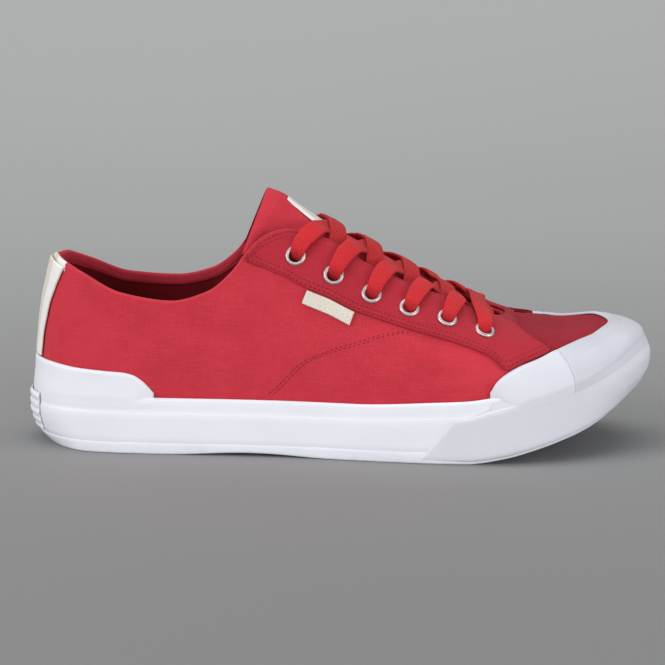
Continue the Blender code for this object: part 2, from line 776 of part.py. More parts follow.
def eyelet_mesh():
    """A flat ring, turned round Z, standing on its own Z = 0."""
    mesh_data = bmesh.new()
    inner, outer = EYELET_BORE / 2, EYELET_OUTER / 2
    profile = ((inner, 0.0), ((inner * 2 + outer) / 3, EYELET_THICK),
               (outer, 0.0))
    sides = 10
    rings = [[(r * math.cos(2 * math.pi * i / sides),
               r * math.sin(2 * math.pi * i / sides), z)
              for i in range(sides)] for r, z in profile]
    add_rings(mesh_data, rings + [rings[0]])
    bmesh.ops.remove_doubles(mesh_data, verts=mesh_data.verts, dist=1e-6)
    face_out(mesh_data)
    return mesh_data


EYELET_LIFT = SKIN_GAP + OVERLAY_THICK + SKIN_GAP
punch_data = bmesh.new()
ring_mesh = None
PLACES = {side: eyelet_places(side == "m") for side in "lm"}
for side in "lm":
    for number, (u, v) in enumerate(PLACES[side], 1):
        matrix = frame_at(u, v, EYELET_LIFT)
        if ring_mesh is None:
            made = finish(f"eyelet_{side}{number}", eyelet_mesh(), METAL)
            ring_mesh = made.data
        else:
            made = bpy.data.objects.new(f"eyelet_{side}{number}", ring_mesh)
            SHOE.objects.link(made)
        made.matrix_world = matrix
        bmesh.ops.create_cone(
            punch_data, cap_ends=True, segments=8,
            radius1=EYELET_BORE / 2, radius2=EYELET_BORE / 2,
            depth=0.012, matrix=matrix)
punch = finish("eyelet_punch", punch_data, METAL, CUTTERS)
punch.hide_render = True
punch.display_type = "WIRE"
for piece in (upper, eyestay):
    cut = piece.modifiers.new("eyelet holes", "BOOLEAN")
    cut.operation = "DIFFERENCE"
    cut.object = punch


# Toe tape round the front of the sole

rows = np.array(TAPE_TOP)
front = RING[(station_of(RING) > TAPE_ENDS[1] + 0.01)]
columns = []
for share in (0.0, 0.2, 0.6, 0.9, 1.0):
    start = TAPE_ENDS[0] + (TAPE_ENDS[1] - TAPE_ENDS[0]) * share
    ring = np.concatenate([[place_of(start)], front,
                           [place_of(start, True)]])
    top = SIDEWALL_HEIGHT * hermite(rows[:, 0], rows[:, 1], station_of(ring))
    height = TAPE_FOOT + (top - TAPE_FOOT) * share
    edge = 0.6 if share in (0.0, 1.0) else 1.0
    columns.append((ring, height, edge))
inside = OUTSOLE_PROUD + TAPE_GAP
mesh_data = bmesh.new()
add_block(mesh_data,
          [sole_ring(ring, height, -inside) for ring, height, _ in columns],
          [sole_ring(ring, height, -inside - TAPE_THICK * edge)
           for ring, height, edge in columns])
face_out(mesh_data)
finish("toe_tape", mesh_data, RUBBER_WHITE)

# Heel plate on the back of the sole

half = place_of(PLATE_WIDTH / 2 / LENGTH * 0.30)
ring = np.linspace(-half, half, 9)
levels = np.linspace(PLATE_BOTTOM, SIDEWALL_HEIGHT - 0.002, 4)
mesh_data = bmesh.new()
add_block(mesh_data,
          [sole_ring(ring, h, -GAP) for h in levels],
          [sole_ring(ring, h, -GAP - PLATE_THICK) for h in levels])
face_out(mesh_data)
finish("heel_plate", mesh_data, RUBBER_WHITE)


# Tongue

def tongue_frame(t):
    """Crown, normal, half width, depth, spread and body at a share."""
    table = np.array(TONGUE)
    knots = np.linspace(0, 1, len(table))

    def read(index, at):
        return hermite(knots, table[:, index], at)

    def centre(at):
        return np.array([to_world(LENGTH * read(0, at)),
                         BALL_WIDTH * read(2, at),
                         TONGUE_HEIGHT * read(1, at)])

    slope = centre(min(t + 0.01, 1.0)) - centre(max(t - 0.01, 0.0))
    normal = np.cross(slope, [0.0, -1.0, 0.0])
    normal /= np.linalg.norm(normal)
    normal += (np.array([0.0, 0.0, 1.0]) - normal) * float(read(6, t))
    normal /= np.linalg.norm(normal)
    return (centre(t), normal, BALL_WIDTH * float(read(3, t)),
            BALL_WIDTH * float(read(4, t)), float(read(5, t)),
            TONGUE_THICK * float(read(7, t)))


SIDEWAYS = np.array([0.0, 1.0, 0.0])


def tongue_out(t, angle):
    """Outward direction of the tongue's front at an angle of its arch."""
    _, normal, half, depth, _, _ = tongue_frame(t)
    out = (normal * half * math.cos(angle)
           + SIDEWAYS * depth * math.sin(angle))
    return out / np.linalg.norm(out)


def tongue_point(t, angle, lift=0.0):
    """Point on the tongue's front, at an angle of its arch."""
    centre, normal, half, depth, _, _ = tongue_frame(t)
    return (centre - normal * depth * (1 - math.cos(angle))
            + SIDEWAYS * half * math.sin(angle) + tongue_out(t, angle) * lift)


front, back = [], []
for t in np.linspace(0, 1, 11):
    *_, spread, body = tongue_frame(t)
    angles = np.linspace(-spread, spread, 11)
    front.append([tongue_point(t, a) for a in angles])
    back.append([tongue_point(t, a, -body) for a in angles])
mesh_data = bmesh.new()
add_block(mesh_data, back, front)
face_out(mesh_data)
finish("tongue", mesh_data, CANVAS)

mesh_data = bmesh.new()
low, high = [], []
for t in np.linspace(*LABEL_ALONG, 4):
    half = tongue_frame(t)[2]
    angles = LABEL_SIDE + np.linspace(-1, 1, 7) * LABEL_WIDTH / 2 / half
    low.append([tongue_point(t, a, SKIN_GAP) for a in angles])
    high.append([tongue_point(t, a, SKIN_GAP + LABEL_THICK) for a in angles])
add_block(mesh_data, low, high)
face_out(mesh_data)
finish("tongue_label", mesh_data, CREAM)


# Lace: five crossings and the straight bar over the last pair of eyelets

def ribbon(path, normals, width, thick):
    """Closed flat ribbon swept along a path, wide across its normals."""
    mesh_data = bmesh.new()
    path = np.array(path)
    normals = np.array(normals)
    ways = np.gradient(path, axis=0)
    rings = []
    for point, normal, way in zip(path, normals, ways):
        across = np.cross(way, normal)
        across /= np.linalg.norm(across)
        up = np.cross(across, way)
        up /= np.linalg.norm(up)
        flat = width / 2
        rings.append([point + across * a * flat + up * b * thick / 2
                      for a, b in ((1, 1), (-1, 1), (-1, -1), (1, -1))])
    verts = add_rings(mesh_data, rings)
    mesh_data.faces.new(verts[0])
    mesh_data.faces.new(verts[-1])
    face_out(mesh_data)
    return mesh_data


def smooth_path(points, count):
    """Smooth curve through a few points, evenly read."""
    points = np.array(points)
    way = np.concatenate([[0], np.cumsum(
        np.linalg.norm(np.diff(points, axis=0), axis=1))])
    at = np.linspace(0, way[-1], count)
    return np.stack([hermite(way, points[:, i], at) for i in range(3)], -1)


def tongue_share(x):
    """Share of the tongue's length where its crown has this X."""
    shares = np.linspace(0, 1, 60)
    crown = np.array([tongue_point(t, 0.0)[0] for t in shares])
    return float(np.interp(-x, -crown, shares))


LACE_REST = EYELET_LIFT + EYELET_THICK + GAP + LACE_THICK / 2


def over_edge(side, number, ahead):
    """Points from an eyelet over the eyestay's edge, going ahead of it."""
    u, v = PLACES[side][number]
    step = math.copysign(ahead, 0.5 - u) / 1.4
    points, normals = [], []
    for share, lift in ((0.30, 0.0), (0.62, -0.0002), (1.0, 0.0004)):
        place = u + step * share * share
        girth = v + (1 - v) * share
        points.append(lifted(place, girth, LACE_REST + lift))
        normals.append(skin_normal(place, girth))
    return points, normals


def over_tongue(x, sides, lift):
    """Points across the tongue's crown at the given angles."""
    points, normals = [], []
    for along, angle in zip(x, sides):
        t = tongue_share(along)
        points.append(tongue_point(t, angle, lift))
        normals.append(tongue_out(t, angle))
    return points, normals


def strand(side, number, lift):
    """From an eyelet across the throat, to dive under the far edge."""
    here = skin(*PLACES[side][number])[0]
    there = skin(*PLACES[side][number + 1])[0]
    pitch = there - here
    a, b = over_edge(side, number, 0.012)
    turn = -1 if side == "l" else 1
    short = 0.52 if number == EYELETS - 2 else 1.0
    x = [here + pitch * share * short for share in LACE_RUN]
    c, d = over_tongue(x, (0.10 * turn, -0.42 * turn), lift)
    path = smooth_path(a + c, 9)
    normals = smooth_path(b + d, 9)
    return ribbon(path, normals, LACE_WIDTH, LACE_THICK)


def join(name, first, second, look):
    """One solid from two closed meshes that cross."""
    made = finish(name, first, look)
    other = finish(name + "_under", second, look, CUTTERS)
    other.hide_render = True
    other.display_type = "WIRE"
    union = made.modifiers.new("crossing", "BOOLEAN")
    union.operation = "UNION"
    union.object = other
    return made


for number in range(EYELETS - 1):
    join(f"lace_cross_{number + 1}",
         strand("m", number, LACE_HEIGHT + LACE_THICK * 0.8),
         strand("l", number, LACE_HEIGHT), LACE)

last = EYELETS - 1
a, b = over_edge("l", last, 0.0)
c, d = over_edge("m", last, 0.0)
x = skin(*PLACES["l"][last])[0]
e, f = over_tongue([x], [0.0], 0.0040)
finish("lace_bar", ribbon(smooth_path(a + e + c[::-1], 13),
                          smooth_path(b + f + d[::-1], 13),
                          LACE_WIDTH, LACE_THICK), LACE)
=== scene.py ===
# Looks of a right skateboarding shoe of red canvas and white rubber.
# +X points to the toe, +Y to the inner (medial) side and +Z up, in metres.

import math

import bmesh
import bpy
import numpy as np
from mathutils import Matrix, Vector


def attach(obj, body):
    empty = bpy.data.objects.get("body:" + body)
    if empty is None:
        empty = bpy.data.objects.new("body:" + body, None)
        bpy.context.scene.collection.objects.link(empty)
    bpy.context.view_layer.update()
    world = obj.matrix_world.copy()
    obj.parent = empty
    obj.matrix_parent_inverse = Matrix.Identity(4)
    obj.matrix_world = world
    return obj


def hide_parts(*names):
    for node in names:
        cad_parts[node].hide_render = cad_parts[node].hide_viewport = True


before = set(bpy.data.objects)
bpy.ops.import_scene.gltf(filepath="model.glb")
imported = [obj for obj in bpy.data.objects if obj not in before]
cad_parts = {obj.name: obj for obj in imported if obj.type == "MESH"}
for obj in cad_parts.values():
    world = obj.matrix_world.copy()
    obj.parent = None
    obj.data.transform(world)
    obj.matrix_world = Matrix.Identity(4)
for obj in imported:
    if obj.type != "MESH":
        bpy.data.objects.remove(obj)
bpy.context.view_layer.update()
BODY = "root"

LENGTH = 0.298             # sidewall, heel to toe
BALL_WIDTH = 0.110         # sidewall, across the ball
COLLAR_HEIGHT = 0.090      # back of the collar above the floor
INSTEP_HEIGHT = 0.1058     # top of the eyelet row above the floor
TONGUE_HEIGHT = 0.1237     # top of the tongue above the floor
TOE_SPRING = 0.026         # rise of the sole at the tip of the toe
ARCH_GAP = 0.0015          # hollow under the waist of the sole

GAP = 0.0003               # between pieces that touch
FOOT_GAP = 0.0006          # between the upper and the sidewall round it
SKIN_GAP = 0.0005          # between the upper and what lies on it
OUTSOLE_THICK = 0.0055
OUTSOLE_PROUD = 0.0005     # outsole's step beyond the sidewall
SIDEWALL_HEIGHT = 0.027    # top of the sidewall above the tread
SIDEWALL_THICK = 0.0025
BAND_HEIGHT = 0.0075       # thin upper band of the sidewall
BAND_STEP = 0.0006         # how far the main band stands out from it
CUP_BASE = 0.012           # top of the foot base above the tread
TAPE_FOOT = 0.0012         # lower edge of the toe tape above the tread
WALL = 0.0022              # canvas and lining of the upper
INSOLE_THICK = 0.004
INSOLE_PLAY = 0.0008       # between the insole and the upper
OVERLAY_THICK = 0.0012     # eyestay
RUBBER_THICK = 0.0015      # toe cap, side bumpers and heel guard
STRIP_THICK = 0.0010       # heel strip
PLATE_THICK = 0.0009
PLATE_WIDTH = 0.034
PLATE_BOTTOM = 0.007
PLATE_TOP = SIDEWALL_HEIGHT - 0.002
PLATE_BEND = 0.30          # station run of the plate's half width
PLATE_RIBS = 4.5           # waves of the ribs over its height
TONGUE_THICK = 0.006
LABEL_WIDTH = 0.024
TAG_LENGTH = 0.0225
TAG_HEIGHT = 0.0075
TAG_THICK = 0.0007
EYELETS = 6
EYELET_OUTER = 0.0100
EYELET_BORE = 0.0062
LACE_THICK = 0.0014

HEEL_REST = 0.15           # the origin's station, as a share of the length

# The plan of the sidewall. Stations are shares of the length, sides are
# shares of the ball width, outer side first and inner side second.
PLAN_TIP = 0.036
PLAN = (
    # station, outer, inner
    (0.020, 0.172, 0.172),
    (0.060, 0.268, 0.266),
    (0.120, 0.325, 0.315),
    (0.200, 0.352, 0.336),
    (0.320, 0.374, 0.324),
    (0.440, 0.412, 0.342),
    (0.560, 0.474, 0.408),
    (0.660, 0.512, 0.468),
    (0.740, 0.514, 0.490),
    (0.820, 0.470, 0.468),
    (0.890, 0.382, 0.410),
    (0.940, 0.284, 0.326),
    (0.980, 0.150, 0.208),
)

# Rise of the tread towards the toe, as a share of TOE_SPRING.
SPRING = (
    # station, rise
    (0.00, 0.00),
    (0.70, 0.00),
    (0.756, 0.08),
    (0.82, 0.26),
    (0.86, 0.40),
    (0.90, 0.56),
    (0.94, 0.75),
    (0.98, 0.97),
    (1.00, 1.04),
)
ARCH = (0.22, 0.50)        # stations between which the waist is hollow

# Top of the sidewall, as a share of SIDEWALL_HEIGHT.
SIDEWALL_TOP = (
    # station, height
    (0.00, 1.00),
    (0.52, 1.00),
    (0.66, 1.08),
    (0.74, 1.12),
    (0.85, 1.06),
    (1.00, 1.00),
)

# How far the sole draws in below and above its widest line, at the heel's
# back and at the toe's tip, as shares of the sidewall's height.
ENDS = (
    # height, heel, toe
    (0.00, 0.300, 0.222),
    (0.20, 0.125, 0.110),
    (0.37, 0.055, 0.030),
    (0.60, 0.000, 0.000),
    (0.80, 0.000, 0.060),
    (1.00, 0.000, 0.165),
)
HEEL_END = 0.10            # stations where the drawn-in ends fade out
TOE_END = 0.87

# The upper's sections. Each row is a section that starts at a station of
# the sidewall and ends at the upper's top edge: collar, eyestay or the
# front of the throat. Along is a share of LENGTH, across of BALL_WIDTH,
# height of INSTEP_HEIGHT or, at the collar's back, set by COLLAR_HEIGHT.
# Bulge is a share of BALL_WIDTH, rise and drop are shares of
# INSTEP_HEIGHT, and reach is a share of the run from top edge to side.
OUTER = (
    # station, along, across, height, bulge, rise, reach, drop
    (0.00, 0.037, 0.000, 0.851, 0.010, 0.21, 0.70, 0.19),
    (0.03, 0.050, -0.128, 0.841, 0.010, 0.21, 0.60, 0.19),
    (0.08, 0.091, -0.226, 0.788, 0.014, 0.19, 0.50, 0.18),
    (0.15, 0.151, -0.284, 0.713, 0.018, 0.18, 0.60, 0.16),
    (0.23, 0.232, -0.302, 0.680, 0.018, 0.17, 0.60, 0.15),
    (0.29, 0.289, -0.296, 0.722, 0.016, 0.18, 0.55, 0.17),
    (0.335, 0.329, -0.278, 0.813, 0.012, 0.20, 0.50, 0.20),
    (0.37, 0.353, -0.254, 0.900, 0.010, 0.22, 0.46, 0.22),
    (0.405, 0.382, -0.220, 0.974, 0.008, 0.24, 0.46, 0.17),
    (0.435, 0.418, -0.198, 1.000, 0.008, 0.26, 0.48, 0.12),
    (0.475, 0.472, -0.202, 0.965, 0.008, 0.27, 0.50, 0.10),
    (0.53, 0.529, -0.214, 0.866, 0.008, 0.25, 0.50, 0.08),
    (0.60, 0.596, -0.210, 0.770, 0.009, 0.21, 0.50, 0.06),
    (0.68, 0.672, -0.190, 0.684, 0.010, 0.18, 0.52, 0.05),
    (0.76, 0.724, -0.160, 0.618, 0.010, 0.152, 0.54, 0.05),
    (0.84, 0.750, -0.112, 0.589, 0.008, 0.122, 0.56, 0.05),
    (0.91, 0.761, -0.052, 0.580, 0.004, 0.10, 0.60, 0.05),
    (0.96, 0.765, -0.002, 0.580, 0.000, 0.08, 0.60, 0.08),
    (1.00, 0.766, 0.042, 0.580, 0.000, 0.07, 0.60, 0.08),
)
INNER = (
    (0.96, 0.765, 0.086, 0.580, 0.000, 0.125, 0.60, 0.085),
    (0.91, 0.759, 0.122, 0.580, 0.018, 0.14, 0.58, 0.085),
    (0.84, 0.747, 0.160, 0.586, 0.020, 0.20, 0.56, 0.085),
    (0.76, 0.722, 0.188, 0.618, 0.018, 0.225, 0.54, 0.05),
    (0.68, 0.670, 0.210, 0.686, 0.008, 0.225, 0.52, 0.05),
    (0.60, 0.596, 0.222, 0.770, 0.006, 0.23, 0.52, 0.06),
    (0.53, 0.529, 0.222, 0.866, 0.004, 0.26, 0.52, 0.08),
    (0.475, 0.472, 0.212, 0.965, 0.004, 0.28, 0.52, 0.10),
    (0.435, 0.418, 0.206, 1.000, 0.004, 0.27, 0.50, 0.12),
    (0.405, 0.382, 0.228, 0.974, 0.006, 0.25, 0.46, 0.17),
    (0.37, 0.353, 0.262, 0.900, 0.008, 0.22, 0.46, 0.22),
    (0.335, 0.329, 0.282, 0.813, 0.010, 0.20, 0.50, 0.20),
    (0.29, 0.289, 0.300, 0.732, 0.012, 0.18, 0.55, 0.17),
    (0.23, 0.232, 0.304, 0.698, 0.014, 0.17, 0.60, 0.15),
    (0.15, 0.151, 0.284, 0.718, 0.014, 0.18, 0.60, 0.16),
    (0.08, 0.091, 0.226, 0.788, 0.012, 0.19, 0.50, 0.18),
    (0.03, 0.050, 0.128, 0.841, 0.010, 0.21, 0.60, 0.19),
)
EYELET_LINE = (
    # along, girth
    (0.430, 0.775),
    (0.489, 0.705),
    (0.547, 0.700),
    (0.608, 0.696),
    (0.668, 0.700),
    (0.729, 0.675),
)

# Lines on the upper. A place on its surface is a station of the sidewall and
# a share of the upper's girth from the sidewall (0) to the top edge (1).
# The eyestay is ruled between its seam and the upper's top edge.
EYESTAY = (
    # seam station, seam girth outer, seam girth inner, top edge station
    (0.366, 0.960, 0.960, 0.366),
    (0.379, 0.890, 0.890, 0.387),
    (0.415, 0.700, 0.700, 0.420),
    (0.451, 0.585, 0.600, 0.455),
    (0.520, 0.540, 0.560, 0.520),
    (0.582, 0.530, 0.550, 0.582),
    (0.642, 0.510, 0.540, 0.642),
    (0.705, 0.470, 0.520, 0.700),
    (0.738, 0.405, 0.510, 0.735),
    (0.752, 0.340, 0.505, 0.750),
    (0.769, 0.245, 0.505, 0.772),
    (0.800, 0.305, 0.535, 0.800),
    (0.832, 0.355, 0.532, 0.822),
    (0.857, 0.405, 0.520, 0.840),
    (0.850, 0.510, 0.575, 0.855),
    (0.843, 0.610, 0.620, 0.870),
    (0.844, 0.700, 0.710, 0.886),
    (0.855, 0.785, 0.790, 0.905),
    (0.880, 0.850, 0.860, 0.930),
    (0.930, 0.920, 0.925, 0.965),
    (1.000, 0.950, 0.950, 1.000),
)
RUBBER = (
    # station, outer, inner: upper edge of toe cap and side bumpers
    (0.722, 0.010, 0.050),
    (0.735, 0.030, 0.190),
    (0.749, 0.135, 0.335),
    (0.768, 0.215, 0.460),
    (0.786, 0.265, 0.500),
    (0.824, 0.325, 0.500),
    (0.859, 0.380, 0.480),
    (0.911, 0.420, 0.450),
    (0.955, 0.405, 0.410),
    (1.000, 0.390, 0.390),
)
RUBBER_ENDS = (0.738, 0.722)    # back tips of the bumpers, outer and inner
RUBBER_JOINT = 0.868            # where the toe cap meets the bumpers
GUARD = (
    # station, girth: upper edge of the heel guard
    (0.000, 0.225),
    (0.052, 0.217),
    (0.101, 0.220),
    (0.150, 0.222),
    (0.170, 0.205),
    (0.186, 0.150),
    (0.198, 0.080),
    (0.204, 0.040),
)
STRIP = (
    # girth, station: front edges of the heel strip
    (0.235, 0.011),
    (0.420, 0.013),
    (0.645, 0.020),
    (0.820, 0.034),
    (0.980, 0.047),
)
TAG_STATION = 0.487             # middle of the side tag, at the seam
TAG_LEAN = 0.008                # how far its hem lies behind, as a station

# The toe tape's top, as a share of SIDEWALL_HEIGHT, and its slanted ends.
TAPE_TOP = (
    # station, height
    (0.60, 0.70),
    (0.68, 0.78),
    (0.74, 0.92),
    (0.80, 0.98),
    (1.00, 0.98),
)
TAPE_ENDS = (0.625, 0.680)      # stations at the tread and at the top

# The tongue from its foot to its top. Station is a share of LENGTH, height
# of TONGUE_HEIGHT, side, half width and depth of BALL_WIDTH, and spread is
# the half angle of its arched section in radians. Upright turns its flanks
# from square to its slope (0) to plumb (1). Body is a share of TONGUE_THICK.
TONGUE = (
    # station, height, side, half, depth, spread, upright, body
    (0.775, 0.462, 0.044, 0.330, 0.330, 0.36, 0.00, 0.60),
    (0.727, 0.512, 0.036, 0.280, 0.280, 0.66, 0.00, 0.70),
    (0.644, 0.622, 0.026, 0.262, 0.262, 0.88, 0.00, 0.80),
    (0.582, 0.710, 0.018, 0.248, 0.248, 1.02, 0.00, 0.90),
    (0.530, 0.780, 0.012, 0.226, 0.230, 1.18, 0.00, 0.90),
    (0.478, 0.848, 0.006, 0.194, 0.232, 1.34, 0.00, 0.90),
    (0.440, 0.910, 0.002, 0.176, 0.262, 1.44, 0.08, 0.90),
    (0.405, 0.970, 0.000, 0.172, 0.300, 1.48, 0.18, 0.75),
    (0.383, 1.000, 0.000, 0.172, 0.330, 1.48, 0.28, 0.45),
)
LABEL_ALONG = (0.665, 0.835)    # shares of the tongue, foot to top
LABEL_SIDE = 0.16               # how far it sits to the inner side, radians


# Small helpers

def cubic(t, start, end, start_slope, end_slope):
    """Cubic from start to end, t from 0 to 1, by values and slopes."""
    return (start * (2 * t**3 - 3 * t**2 + 1)
            + start_slope * (t**3 - 2 * t**2 + t)
            + end * (3 * t**2 - 2 * t**3) + end_slope * (t**3 - t**2))


def hermite(knots, values, at):
    """Monotone cubic curve through the rows, read at the given places."""
    knots = np.asarray(knots, float)
    values = np.asarray(values, float)
    at = np.clip(np.asarray(at, float), knots[0], knots[-1])
    step = np.diff(knots)
    slope = np.diff(values) / step
    tangent = np.zeros(len(knots))
    tangent[0], tangent[-1] = slope[0], slope[-1]
    same = slope[:-1] * slope[1:] > 0
    inner = np.zeros(len(slope) - 1)
    inner[same] = 2 / (1 / slope[:-1][same] + 1 / slope[1:][same])
    tangent[1:-1] = inner
    cell = np.clip(np.searchsorted(knots, at, side="right") - 1, 0,
                   len(step) - 1)
    return cubic((at - knots[cell]) / step[cell], values[cell],
                 values[cell + 1], tangent[cell] * step[cell],
                 tangent[cell + 1] * step[cell])


def read(table, at, index=1):
    """One column of a table of rows, against its first column."""
    rows = np.array(table, float)
    return hermite(rows[:, 0], rows[:, index], at)


def closed_spline(points, count):
    """Smooth closed curve through the points (centripetal chord cubic)."""
    points = np.asarray(points, float)
    n = len(points)
    chord = np.sqrt(np.linalg.norm(np.roll(points, -1, 0) - points, axis=1))
    matrix = np.zeros((n, n))
    right = np.zeros((n, 2))
    for i in range(n):
        before, after = chord[i - 1], chord[i]
        matrix[i, i - 1] += 1 / before
        matrix[i, i] += 2 / before + 2 / after
        matrix[i, (i + 1) % n] += 1 / after
        right[i] = (3 * (points[i] - points[i - 1]) / before**2
                    + 3 * (points[(i + 1) % n] - points[i]) / after**2)
    tangent = np.linalg.solve(matrix, right)
    t = np.linspace(0, 1, count, endpoint=False)[:, None]
    return np.vstack([
        cubic(t, points[i], points[(i + 1) % n], tangent[i] * chord[i],
              tangent[(i + 1) % n] * chord[i]) for i in range(n)])


def unit(vectors):
    return vectors / np.linalg.norm(vectors, axis=-1, keepdims=True)


def way_along(points):
    """Distance along a line of points, from its first one."""
    steps = np.linalg.norm(np.diff(points, axis=0), axis=1)
    return np.concatenate([[0], np.cumsum(steps)])


def fade(value, start, end):
    """Smooth step from 0 at start to 1 at end."""
    t = np.clip((np.asarray(value, float) - start) / (end - start), 0, 1)
    return t * t * (3 - 2 * t)


# The plan outline, with outer and inner branches

def plan_branches():
    points = [(0.0, 0.0)]
    points += [(row[0] * LENGTH, -row[1] * BALL_WIDTH) for row in PLAN]
    points += [(LENGTH, PLAN_TIP * BALL_WIDTH)]
    points += [(row[0] * LENGTH, row[2] * BALL_WIDTH)
               for row in reversed(PLAN)]
    curve = closed_spline(points, 40)
    heel, toe = int(curve[:, 0].argmin()), int(curve[:, 0].argmax())
    curve = np.roll(curve, -heel, 0)
    toe = (toe - heel) % len(curve)
    return curve[:toe + 1], np.vstack([curve[toe:], curve[:1]])[::-1]


OUTER_SIDE, INNER_SIDE = plan_branches()


def side_shares():
    """Share of the way round the outer side, for each station."""
    way = way_along(OUTER_SIDE)
    return way / way[-1], (OUTER_SIDE[:, 0] - OUTER_SIDE[0, 0]) / (
        OUTER_SIDE[-1, 0] - OUTER_SIDE[0, 0])


WAY, WAY_STATION = side_shares()


def station_of(u):
    """Station at ring place u: 0 heel, 0.5 toe, 1 heel again."""
    u = np.mod(u, 1.0)
    return np.interp(np.where(u <= 0.5, 2 * u, 2 - 2 * u), WAY, WAY_STATION)


def place_of(station, inner=False):
    """Ring place u of a station on the outer or the inner side."""
    half = np.interp(station, WAY_STATION, WAY) / 2
    return 1 - half if inner else half


def plan_point(u):
    """Plan position for ring places."""
    u = np.mod(np.asarray(u, float), 1.0)
    reach = station_of(u)
    x_outer = OUTER_SIDE[0, 0] + reach * (OUTER_SIDE[-1, 0]
                                          - OUTER_SIDE[0, 0])
    way = np.where(u <= 0.5, 2 * u, 2 - 2 * u)
    y_outer = np.interp(way, WAY, OUTER_SIDE[:, 1])
    y_inner = np.interp(x_outer, INNER_SIDE[:, 0], INNER_SIDE[:, 1])
    return x_outer, np.where(u <= 0.5, y_outer, y_inner)


PLAN_PROBE = 0.004          # ring places on either side, for a direction


def outline(u, inset):
    """Plan position moved in by inset, with x from the heel's back."""
    u = np.asarray(u, float)
    ax, ay = plan_point(u - PLAN_PROBE)
    bx, by = plan_point(u + PLAN_PROBE)
    x, y = plan_point(u)
    size = np.hypot(bx - ax, by - ay)
    out_x, out_y = (by - ay) / size, -(bx - ax) / size
    return x - out_x * inset, y - out_y * inset, out_x, out_y


def to_world(station_x):
    return station_x - HEEL_REST * LENGTH


def spring(station):
    return TOE_SPRING * read(SPRING, station)


def arch(station):
    t = np.clip((np.asarray(station) - ARCH[0]) / (ARCH[1] - ARCH[0]), 0, 1)
    return ARCH_GAP * np.sin(math.pi * t) ** 2


def wall_top(station):
    return SIDEWALL_HEIGHT * read(SIDEWALL_TOP, station)


def end_inset(station, height):
    """How far the sole draws in at its two ends, at a height."""
    share = np.asarray(height) / wall_top(station)
    heel = read(ENDS, share) * SIDEWALL_HEIGHT
    toe = read(ENDS, share, 2) * SIDEWALL_HEIGHT
    return (heel * (1 - fade(station, 0.0, HEEL_END))
            + toe * fade(station, TOE_END, 1.0))


def sole_ring(u, height, inset, hollow=False):
    """Points round the sole at a height above the tread."""
    u = np.asarray(u, float)
    station = station_of(u)
    height = height + np.zeros_like(station)
    x, y, _, _ = outline(u, inset + end_inset(station, height))
    z = spring(station) + height + (arch(station) if hollow else 0)
    return np.stack([to_world(x), y, z], -1)


# The upper's surface

def section_table():
    rows = list(OUTER) + list(INNER) + [OUTER[0]]
    places = ([float(place_of(row[0])) for row in OUTER]
              + [float(place_of(row[0], True)) for row in INNER] + [1.0])
    return np.array(places), np.array(rows, float)


SECTION_PLACES, SECTIONS = section_table()


def column(u, index):
    return hermite(SECTION_PLACES, SECTIONS[:, index], np.mod(u, 1.0))


FOOT_INSET = SIDEWALL_THICK + BAND_STEP + FOOT_GAP
FOOT_BASE = CUP_BASE + GAP


def skin(u, v):
    """The upper's outer surface: v is 0 at the sidewall's top, 1 at the
    upper's top edge, and -1 at the bottom inside the sidewall."""
    u, v = np.broadcast_arrays(np.asarray(u, float), np.asarray(v, float))
    station = station_of(u)
    top = wall_top(station)
    height = top + (FOOT_BASE - top) * np.clip(-v, 0, 1)
    foot = sole_ring(u, height, FOOT_INSET)
    up = np.clip(v, 0, 1)[..., None]
    start = sole_ring(u, top, FOOT_INSET)
    _, _, out_x, out_y = outline(u, 0.0)
    out = np.stack([out_x, out_y, np.zeros_like(out_x)], -1)
    collar = 1 - fade(station, 0.0, 0.2)
    high = INSTEP_HEIGHT * column(u, 3)
    high = high + (COLLAR_HEIGHT - INSTEP_HEIGHT * OUTER[0][3]) * collar
    end = np.stack([to_world(LENGTH * column(u, 1)),
                    BALL_WIDTH * column(u, 2), high], -1)
    lift = np.array([0.0, 0.0, 1.0])
    first = (start + out * (BALL_WIDTH * column(u, 4))[..., None]
             + lift * (INSTEP_HEIGHT * column(u, 5))[..., None])
    run = (start - end) * np.array([1.0, 1.0, 0.0])
    last = (end + run * column(u, 6)[..., None]
            - lift * (INSTEP_HEIGHT * column(u, 7))[..., None])
    curve = (start * (1 - up)**3 + first * 3 * up * (1 - up)**2
             + last * 3 * up**2 * (1 - up) + end * up**3)
    return np.where((v < 0)[..., None], foot, curve)


SKIN_PROBE = (0.003, 0.01)  # ring places and girth share, for a direction


def skin_normal(u, v):
    """Outward normal of the upper's surface."""
    u, v = np.broadcast_arrays(np.asarray(u, float), np.asarray(v, float))
    v = np.clip(v, 0.0, 1.0)
    du, dv = SKIN_PROBE
    along = skin(u + du, v) - skin(u - du, v)
    up = (skin(u, np.minimum(v + dv, 1.0)) - skin(u, np.maximum(v - dv, 0)))
    return unit(np.cross(along, up))


